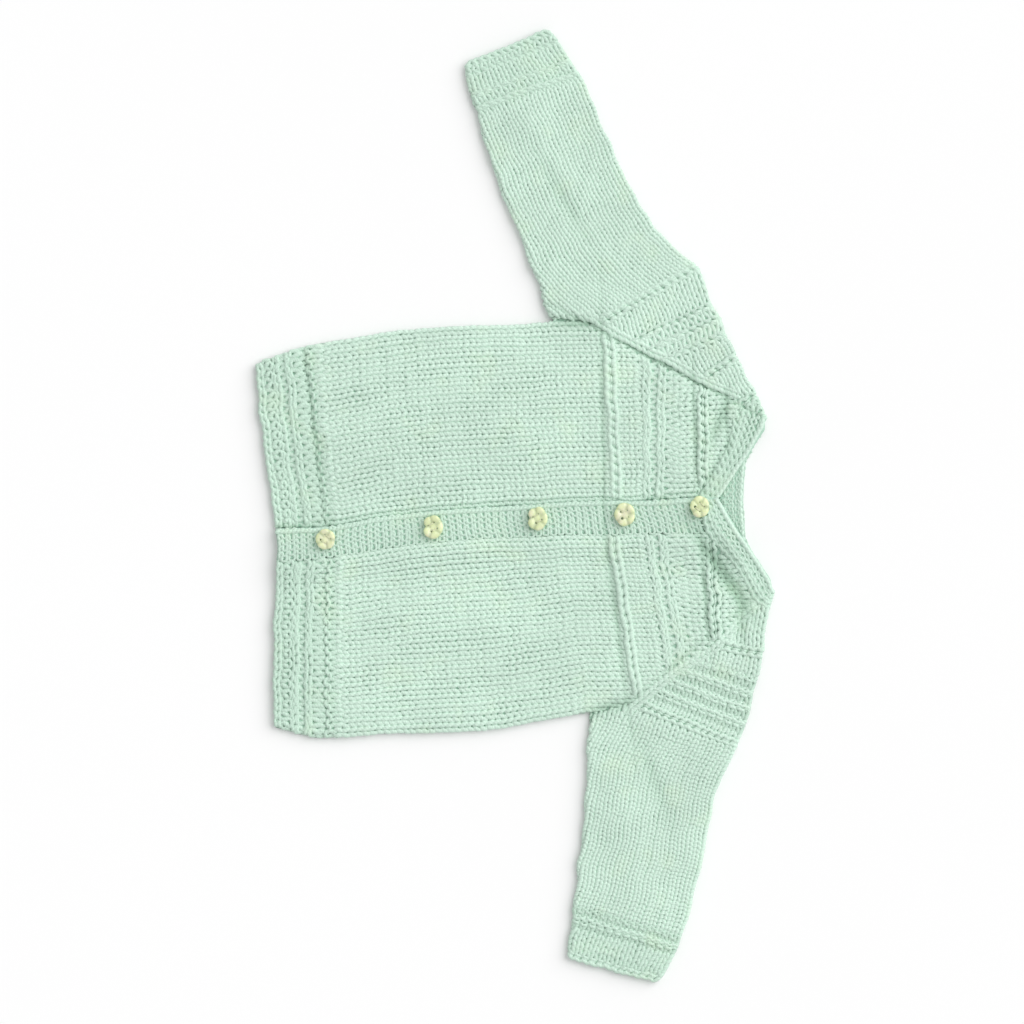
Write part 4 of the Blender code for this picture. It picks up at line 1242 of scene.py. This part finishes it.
def mould_button(settings, node, x, y, along_x, along_y, notch, depths, hole, drills):
    """One flower-shaped button on the box of its node, with its sewing holes."""
    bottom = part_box(node)[0][2]
    middle = np.array([x, y]) * MM
    deselect()
    bpy.ops.mesh.primitive_uv_sphere_add(segments=80, ring_count=26, radius=1.0)
    made = bpy.context.object
    made.name = node + "_flower"
    mesh = made.data
    ball = np.zeros(len(mesh.vertices) * 3)
    mesh.vertices.foreach_get("co", ball)
    ball = ball.reshape(-1, 3)
    turn = np.arctan2(ball[:, 1], ball[:, 0])
    profile = np.array(BUTTON_PROFILE)
    steps = (1 - np.arccos(np.clip(ball[:, 2], -1.0, 1.0)) / math.pi) * (len(profile) - 1)
    share, up = between(steps, np.arange(len(profile)), profile).T
    away = turn[:, None] - math.radians(notch) - np.arange(PETALS) * math.tau / PETALS
    away = (away + math.pi) % math.tau - math.pi
    notched = np.exp(-(np.abs(away) / NOTCH_ANGLE) ** 1.4)
    radius = settings.radius - (notched @ np.array(depths)) * MM - RIM_INSET
    narrow = np.exp(-(away * share[:, None] / CREASE_ANGLE) ** 2).max(axis=1)
    crease = narrow * smooth((share - 0.1) / 0.35) * smooth((up - 0.4) / 0.4)
    plan = np.column_stack([along_x * np.cos(turn), along_y * np.sin(turn)])
    plan = plan * (share * radius)[:, None]
    holes = math.radians(hole) + np.arange(HOLES) * math.tau / HOLES
    spots = np.column_stack([np.cos(holes), np.sin(holes)]) * settings.hole_circle
    gap = np.hypot(plan[:, None, 0] - spots[:, 0], plan[:, None, 1] - spots[:, 1]).min(axis=1)
    dip = np.exp(-(gap / (DIP_REACH * settings.hole)) ** 2) * (up > 0.6)
    height = settings.thickness * up - settings.crease * crease - DIP * dip
    points = np.column_stack([plan + middle, bottom + height])
    mesh.vertices.foreach_set("co", points.ravel())
    # Where the button gets painted shade: its creases, and half as much in the dips round its
    # holes.
    sunk = mesh.attributes.new("sunk", "FLOAT", "POINT")
    sunk.data.foreach_set("value", np.clip(crease + 0.5 * dip, 0.0, 1.0))
    for spot, drilled in zip(spots, drills):
        deselect()
        bpy.ops.mesh.primitive_cylinder_add(
            vertices=20, radius=drilled * MM, depth=0.02,
            location=(x * MM + spot[0], y * MM + spot[1], bottom))
        drill = bpy.context.object
        hollow = made.modifiers.new("hole", "BOOLEAN")
        hollow.operation, hollow.solver, hollow.object = "DIFFERENCE", "EXACT", drill
        pick(made)
        bpy.ops.object.modifier_apply(modifier="hole")
        bpy.data.objects.remove(drill)
    bpy.ops.object.shade_smooth_by_angle(angle=math.radians(50))
    return made, spots + middle, bottom


def sew(strands, spots, bottom, thickness, seed):
    """Two bars of doubled thread from hole to hole."""
    noise = np.random.default_rng(seed)
    t = np.linspace(0.0, 1.0, 14)
    top = bottom / MM + THREAD_LEVEL * thickness / MM
    for first, second in ((0, 1), (3, 2)):
        a, b = spots[first] / MM, spots[second] / MM
        side = np.array([-(b - a)[1], (b - a)[0]])
        side = side / np.hypot(*side)
        for shift in (-THREAD_SPACING, THREAD_SPACING):
            plan = a + t[:, None] * (b - a) + shift * side + noise.normal(0.0, 0.05, 2)
            height = top + THREAD_HEIGHT - THREAD_DROP * np.abs(2 * t - 1) ** 6
            strands.add(np.column_stack([plan, height]), upright(len(t)), *THREAD_SIZE,
                        noise.uniform(0.0, 9.0))


# Materials.


class Maths:
    """A socket that takes part in Python expressions."""

    def __init__(self, nodes, socket):
        self.nodes, self.socket = nodes, socket

    def _join(self, operation, first, second):
        return self.nodes.add("ShaderNodeMath", {"operation": operation}, [first, second])

    def __add__(self, other):
        return self._join("ADD", self, other)

    def __radd__(self, other):
        return self._join("ADD", other, self)

    def __sub__(self, other):
        return self._join("SUBTRACT", self, other)

    def __rsub__(self, other):
        return self._join("SUBTRACT", other, self)

    def __mul__(self, other):
        return self._join("MULTIPLY", self, other)

    def __rmul__(self, other):
        return self._join("MULTIPLY", other, self)

    def __truediv__(self, other):
        return self._join("DIVIDE", self, other)

    def __pow__(self, other):
        return self._join("POWER", self, other)


class Finish:
    """Node tree of one material."""

    def __init__(self, name, roughness, **constants):
        self.material = bpy.data.materials.new(name)
        self.material.use_nodes = True
        self.tree = self.material.node_tree
        self.shader = self.tree.nodes["Principled BSDF"]
        self.shader.inputs["Roughness"].default_value = roughness
        for key, value in constants.items():
            self.shader.inputs[key.replace("_", " ")].default_value = value

    def add(self, kind, settings, values, output=0):
        """A node of this type with its settings and its sockets' values or links."""
        node = self.tree.nodes.new(kind)
        for key, value in settings.items():
            setattr(node, key, value)
        pairs = values.items() if isinstance(values, dict) else enumerate(values)
        for key, value in pairs:
            if isinstance(value, Maths):
                self.tree.links.new(value.socket, node.inputs[key])
            elif value is not None:
                node.inputs[key].default_value = value
        return Maths(self, node.outputs[output])

    def place(self):
        """Object coordinates."""
        return self.add("ShaderNodeTexCoord", {}, {}, 3)

    def strand(self):
        """Share of the way round a strand, and length along it in mm."""
        uv = self.add("ShaderNodeUVMap", {"uv_map": "yarn"}, {})
        return [self.add("ShaderNodeSeparateXYZ", {}, [uv], axis) for axis in (0, 1)]

    def own(self, name):
        """Value that the mesh holds under this name."""
        return self.add("ShaderNodeAttribute", {"attribute_name": name}, {}, 2)

    def one(self, operation, value):
        return self.add("ShaderNodeMath", {"operation": operation}, [value])

    def mix(self, share, first, second, blend="MIX"):
        """Colour between two colours."""
        settings = {"data_type": "RGBA", "blend_type": blend}
        return self.add("ShaderNodeMix", settings, {0: share, 6: first, 7: second}, 2)

    def noise(self, vector, scale, detail=2.0, output=0):
        values = {"Vector": vector, "Scale": scale, "Detail": detail}
        return self.add("ShaderNodeTexNoise", {}, values, output)

    def spread(self, value, low, high, to_low=0.0, to_high=1.0):
        """Value from one range to another, held at its ends."""
        return self.add("ShaderNodeMapRange", {"clamp": True},
                        [value, low, high, to_low, to_high])

    def out(self, key, value):
        self.tree.links.new(value.socket, self.shader.inputs[key])

    def bump(self, height, distance, strength=1.0):
        values = {"Height": height, "Distance": distance, "Strength": strength}
        return self.add("ShaderNodeBump", {}, values)


def rgba(colour, shade=1.0):
    """A shade of a colour, with its alpha."""
    return (*[c * shade for c in colour], 1.0)


def yarn_finish(yarn):
    """Plied, slightly hairy yarn with its plies twisted round the strand."""
    finish = Finish("mint_yarn", 0.88, Sheen_Weight=0.35, Sheen_Roughness=0.5,
                    Specular_IOR_Level=0.25)
    place = finish.place()
    around, along = finish.strand()
    twist = around * PLIES + along * (PLIES * MM / yarn.ply)
    cell = finish.one("FRACT", twist) * 2.0 - 1.0
    ply = finish.one("SQRT", 1.0 - finish.one("ABSOLUTE", cell) ** 2.4 * 0.96)
    hair = finish.add("ShaderNodeCombineXYZ", {}, [twist * 5.0, along * 0.9, around * 2.0])
    fibre = finish.noise(hair, 1.0, 3.0)
    patch = finish.noise(place, 26.0)
    warm = finish.noise(place, 60.0)
    # Painted shade between the plies: the yarn goes from its crowns' colour to its deep colour.
    body = finish.mix(finish.spread(ply, 0.1, 0.8, 0.35, 1.0), rgba(yarn.ply_shade),
                      rgba(yarn.light))
    body = finish.mix(finish.spread(warm, 0.55, 0.75, 0.0, 0.6), body, rgba(yarn.warm))
    tone = finish.spread(patch, 0.3, 0.7, 0.94, 1.03) * finish.spread(fibre, 0.25, 0.75, 0.9, 1.04)
    # The mesh's tone holds painted shade for creases, sunk rows, borders and ridges. The patches
    # and fibres above vary at random.
    own = finish.own("tone")
    shadow = [tone * own ** power for power in SHADE_POWERS]
    shaded = finish.add("ShaderNodeCombineColor", {}, shadow)
    finish.out("Base Color", finish.mix(1.0, body, shaded, "MULTIPLY"))
    finish.out("Normal", finish.bump(ply * 0.7 + fibre * 0.5, 0.00025, 0.7))
    return finish.material


def cloth_finish(yarn):
    """Fuzzy ground seen between the loops, coloured darker than the yarn as painted shade."""
    finish = Finish("mint_ground_shade", 0.95, Sheen_Weight=0.2, Specular_IOR_Level=0.1)
    fibre = finish.noise(finish.place(), 1500.0, 3.0)
    finish.out("Base Color", finish.mix(fibre, rgba(yarn.ground, 0.85), rgba(yarn.ground, 1.15)))
    finish.out("Normal", finish.bump(fibre, 0.0004, 0.6))
    return finish.material


def button_finish(button):
    """Cloudy moulded plastic, glossy, with painted shade in olive down in its creases and round
    its holes, and random pinkish patches.
    """
    finish = Finish("button_plastic", 0.28, Specular_IOR_Level=0.5, Subsurface_Weight=0.15,
                    Subsurface_Radius=(0.002, 0.002, 0.001), Coat_Weight=0.2)
    place = finish.place()
    cloud = finish.noise(place, 240.0, 3.0)
    blush = finish.noise(place, 150.0, 1.0)
    dusty = finish.noise(place, 1900.0)
    pale = [min(1.0, c * 1.1 + 0.03) for c in button.colour]
    olive = [c * share for c, share in zip(button.colour, BUTTON_CREASE_SHADE)]
    body = finish.mix(finish.spread(cloud, 0.35, 0.65), rgba(button.colour, 0.9), rgba(pale))
    body = finish.mix(finish.spread(blush, 0.5, 0.68, 0.0, 0.45), body, rgba(BUTTON_PINK))
    # Painted shade in olive in the creases and round the holes.
    sunk = finish.spread(finish.own("sunk"), 0.05, 0.9, 0.0, 0.4)
    finish.out("Base Color", finish.mix(sunk, body, rgba(olive)))
    finish.out("Roughness", finish.spread(dusty, 0.3, 0.7, 0.22, 0.4))
    finish.out("Normal", finish.bump(cloud, 0.0003, 0.25))
    return finish.material


def thread_finish(button):
    """Fine twisted sewing thread."""
    finish = Finish("sewing_thread", 0.6, Sheen_Weight=0.2)
    around, along = finish.strand()
    ply = finish.one("SINE", around * math.tau + along * 9.0)
    # Painted shade in the troughs between the thread's plies.
    finish.out("Base Color", finish.mix(finish.spread(ply, -1.0, 1.0), rgba(button.thread, 0.88),
                                        rgba(button.thread)))
    finish.out("Normal", finish.bump(ply, 0.00008, 0.6))
    return finish.material


def looks(yarn):
    """Yarn and ground finishes, made once."""
    made = bpy.data.materials.get("mint_yarn")
    ground = bpy.data.materials.get("mint_ground_shade")
    if made is None:
        made, ground = yarn_finish(yarn), cloth_finish(yarn)
    return made, ground


# Operators.


class CARDIGAN_OT_back(bpy.types.Operator):
    """Knits the back"""

    bl_idname = "cardigan.back"
    bl_label = "Back"

    def execute(self, context):
        yarn = context.scene.cardigan_yarn
        look, ground = looks(yarn)
        place, span = place_back()
        strands = Strands(4)
        rows = plain(rows_to(NECK - 0.6, HEM_ROWS, BACK_ROWS))
        knit(strands, place, span, rows, yarn, 21, steps=5, fine=UNDER_FINE)
        loops = stitches("back_stitches", strands, look)
        courses = np.concatenate([np.linspace(0.3, NECK_START, 50), [76.5, 78.0, 79.2]])
        piece = cloth("back_cloth", place, span, courses, ground, offset=-0.3, thick=0.7,
                      columns=44)
        finish_piece(piece, "back", [loops])
        return {"FINISHED"}


class CARDIGAN_OT_sleeves(bpy.types.Operator):
    """Knits the two sleeves"""

    bl_idname = "cardigan.sleeves"
    bl_label = "Sleeves"

    def execute(self, context):
        yarn = context.scene.cardigan_yarn
        look, ground = looks(yarn)
        border = (CUFF_END, CUFF_SHADE)
        courses = np.concatenate([np.linspace(0.3, NECK_START, 60), [76.5, 78.0, 79.6]])
        for node, table, yoke, side, textured, ridges, seed in (
            ("sleeve_right", SLEEVE_RIGHT, YOKE_RIGHT, 1.0, (CUFF_ROWS_RIGHT, SLEEVE_ROWS_RIGHT),
             RIDGES_SLEEVE_RIGHT, 31),
            ("sleeve_left", SLEEVE_LEFT, YOKE_LEFT, -1.0, (CUFF_ROWS_LEFT, SLEEVE_ROWS_LEFT),
             RIDGES_SLEEVE_LEFT, 32),
        ):
            place, span = place_sleeve(table, yoke)
            rows = rows_to(NECK, *textured)
            top = Strands(5)
            knit(top, place, lambda c: (-0.3, span(c)[1]), cleared(rows, ridges), yarn, seed,
                 fine=SLEEVE_FINE, border=border)
            add_ridges(top, place, lambda c: (-0.8, span(c)[1]), ridges, seed + RIDGE_SEEDS,
                       border)
            knit(top, place_raglan(yoke, side), steady(0.0, 1.0), RAGLAN_ROWS, yarn, seed + 70)
            under = Strands(4)
            knit(under, place, lambda c: (span(c)[0], -0.4), plain(rows), yarn, seed + 50,
                 steps=5, fine=UNDER_FINE)
            loops = [stitches(node + "_stitches", top, look),
                     stitches(node + "_under_stitches", under, look)]
            piece = cloth(node + "_cloth", place, span, courses, ground, offset=-0.45, thick=0.5,
                          columns=48)
            finish_piece(piece, node, loops)
        return {"FINISHED"}


class CARDIGAN_OT_fronts(bpy.types.Operator):
    """Knits the two fronts"""

    bl_idname = "cardigan.fronts"
    bl_label = "Fronts"

    def execute(self, context):
        yarn = context.scene.cardigan_yarn
        look, ground = looks(yarn)
        border = (HEM_END, HEM_SHADE)
        rows = rows_to(NECK + 1.0, HEM_ROWS, FRONT_ROWS)
        courses = np.concatenate([np.linspace(0.4, NECK_START, 76), np.linspace(75.6, 79.9, 6)])
        for node, body, yoke, start, climbs, ridges, seed in (
            ("front_right", BODY_RIGHT, YOKE_RIGHT, ROW_START_RIGHT, False, RIDGES_FRONT_RIGHT,
             11),
            ("front_left", BODY_LEFT, YOKE_LEFT, ROW_START_LEFT, True, RIDGES_FRONT_LEFT, 12),
        ):
            place, span = place_front(body, yoke, start, climbs)
            strands = Strands(5)
            knit(strands, place, span, cleared(rows, ridges), yarn, seed, border=border)
            add_ridges(strands, place, span, ridges, seed + RIDGE_SEEDS, border)
            loops = stitches(node + "_stitches", strands, look)
            piece = cloth(node + "_cloth", place, span, courses, ground, offset=-0.55, thick=0.5,
                          columns=30)
            finish_piece(piece, node, [loops])
        return {"FINISHED"}


class CARDIGAN_OT_bands(bpy.types.Operator):
    """Knits the ribbed buttonhole band and the plain band under it"""

    bl_idname = "cardigan.bands"
    bl_label = "Front bands"

    def execute(self, context):
        yarn = context.scene.cardigan_yarn
        look, ground = looks(yarn)
        whole = steady(0.0, BAND_COLUMNS)
        over = place_band(BAND_TOP_RIGHT, BAND_TOP_LEFT, Z_OVER)
        strands = Strands(6)
        knit(strands, over, steady(0.0, BAND_COLUMNS + BAND_TUCK), BAND_ROWS, yarn, 41, steps=12,
             close=0.07, border=(BAND_END, BAND_SHADE))
        edging(strands, over, whole, BAND_COURSES - 0.55, -0.15, 43, radius=0.4, wide=1.15,
               twist=4.4, tone=BAND_SHADE)
        loops = stitches("buttonhole_band_stitches", strands, look)
        piece = cloth("buttonhole_band_cloth", over, whole, np.linspace(0.0, BAND_COURSES, 9),
                      ground, offset=-0.5, thick=0.6, columns=120)
        finish_piece(piece, "buttonhole_band", [loops])
        under = place_band(BAND_TOP_RIGHT, UNDERLAP_TOP_LEFT, Z_FRONT)
        strands = Strands(4)
        knit(strands, under, steady(0.2, BAND_COLUMNS - 0.2), UNDERLAP_ROWS, yarn, 42, steps=6,
             fine=0.8)
        loops = stitches("button_band_stitches", strands, look)
        piece = cloth("button_band_cloth", under, whole, np.linspace(0.3, BAND_COURSES, 9),
                      ground, offset=-0.3, thick=0.8, columns=60)
        finish_piece(piece, "button_band", [loops])
        return {"FINISHED"}


class CARDIGAN_OT_neckband(bpy.types.Operator):
    """Knits the neckband round the neck"""

    bl_idname = "cardigan.neckband"
    bl_label = "Neckband"

    def execute(self, context):
        yarn = context.scene.cardigan_yarn
        look, ground = looks(yarn)
        place, count, back = place_neckband()

        def inside(w, c):
            points, normal = place(w, c)
            return points, -normal

        strands = Strands(5)
        border = (BAND_END, NECK_SHADE)
        whole = steady(0.2, count - 0.2)
        knit(strands, place, whole, cleared(NECKBAND_ROWS, RIDGES_NECKBAND), yarn, 51, steps=8,
             fine=0.9, border=border)
        add_ridges(strands, place, whole, RIDGES_NECKBAND, 60, border)
        edging(strands, place, whole, NECK_COURSES - 0.5, 0.3, 52, radius=0.3, wide=1.35,
               twist=6.5)
        knit(strands, inside, steady(*back), NECKBAND_INSIDE_ROWS, yarn, 53, steps=8, fine=0.9,
             border=border)
        loops = stitches("neckband_stitches", strands, look)
        piece = cloth("neckband_cloth", place, steady(0.0, count),
                      np.linspace(-0.2, NECK_COURSES, 10), ground, offset=-0.2, thick=0.5,
                      columns=160)
        finish_piece(piece, "neckband", [loops])
        return {"FINISHED"}


class CARDIGAN_OT_buttons(bpy.types.Operator):
    """Moulds and sews on the buttons"""

    bl_idname = "cardigan.buttons"
    bl_label = "Buttons"

    def execute(self, context):
        settings = context.scene.cardigan_button
        look, thread = button_finish(settings), thread_finish(settings)
        for number, (node, *form) in enumerate(BUTTONS):
            made, spots, bottom = mould_button(settings, node, *form)
            made.data.materials.clear()
            made.data.materials.append(look)
            add_to_body(made)
            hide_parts(node)
            strands = Strands(6)
            sew(strands, spots, bottom, settings.thickness, 70 + number)
            add_to_body(stitches(node + "_thread", strands, thread))
        return {"FINISHED"}


class CARDIGAN_OT_stage(bpy.types.Operator):
    """Sets the table, the light and the camera"""

    bl_idname = "cardigan.stage"
    bl_label = "Table and light"

    def execute(self, context):
        stage = context.scene.cardigan_stage
        bpy.ops.mesh.primitive_plane_add(size=TABLE_SIZE, location=(0.0, 0.0, TABLE_LEVEL))
        floor = context.object
        floor.name = "table"
        finish = Finish("table_white", 0.9, Specular_IOR_Level=0.1)
        tone = finish.spread(finish.noise(finish.place(), 3.0, 1.0), 0.3, 0.7, 0.995, 1.0)
        grey = finish.add("ShaderNodeCombineColor", {}, [tone, tone, tone])
        finish.out("Base Color", finish.mix(1.0, rgba(stage.floor), grey, "MULTIPLY"))
        floor.data.materials.append(finish.material)
        world = bpy.data.worlds.new("studio")
        world.use_nodes = True
        surround = world.node_tree.nodes["Background"].inputs
        surround["Color"].default_value = (1, 1, 1, 1)
        surround["Strength"].default_value = stage.world
        context.scene.world = world
        bpy.ops.object.light_add(type="SUN", location=(0.0, 0.0, 1.0))
        key = context.object
        key.name = "key_light"
        key.data.energy = stage.key
        key.data.angle = stage.spread
        key.rotation_euler = (0.0, math.pi / 2 - stage.slope, stage.turn)
        lens = bpy.data.cameras.new("camera")
        lens.lens = SENSOR * (stage.distance - PICTURE_LEVEL) / stage.width
        lens.sensor_width = SENSOR
        camera = bpy.data.objects.new("camera", lens)
        context.scene.collection.objects.link(camera)
        camera.location = (*PICTURE_MIDDLE, stage.distance)
        camera.rotation_euler = (0.0, 0.0, math.radians(90))
        context.scene.camera = camera
        context.scene.view_settings.view_transform = "Standard"
        return {"FINISHED"}


class CARDIGAN_PT_panel(bpy.types.Panel):
    """Lists the cardigan's pieces"""

    bl_idname = "CARDIGAN_PT_panel"
    bl_label = "Cardigan"
    bl_space_type = "VIEW_3D"
    bl_region_type = "UI"
    bl_category = "Cardigan"

    def draw(self, context):
        for operator in OPERATORS:
            self.layout.operator(operator.bl_idname)
        for name in SETTINGS:
            settings = getattr(context.scene, name)
            for key in settings.__annotations__:
                self.layout.prop(settings, key)


OPERATORS = (
    CARDIGAN_OT_back,
    CARDIGAN_OT_sleeves,
    CARDIGAN_OT_fronts,
    CARDIGAN_OT_bands,
    CARDIGAN_OT_neckband,
    CARDIGAN_OT_buttons,
    CARDIGAN_OT_stage,
)
SETTINGS = {
    "cardigan_yarn": YarnSettings,
    "cardigan_button": ButtonSettings,
    "cardigan_stage": StageSettings,
}
CLASSES = (*SETTINGS.values(), *OPERATORS, CARDIGAN_PT_panel)


def register():
    for item in CLASSES:
        bpy.utils.register_class(item)
    for name, group in SETTINGS.items():
        setattr(bpy.types.Scene, name, bpy.props.PointerProperty(type=group))


def unregister():
    for name in SETTINGS:
        delattr(bpy.types.Scene, name)
    for item in reversed(CLASSES):
        bpy.utils.unregister_class(item)


def main():
    register()
    bpy.ops.cardigan.back()
    bpy.ops.cardigan.sleeves()
    bpy.ops.cardigan.fronts()
    bpy.ops.cardigan.bands()
    bpy.ops.cardigan.neckband()
    bpy.ops.cardigan.buttons()
    bpy.ops.cardigan.stage()


if __name__ == "__main__":
    main()
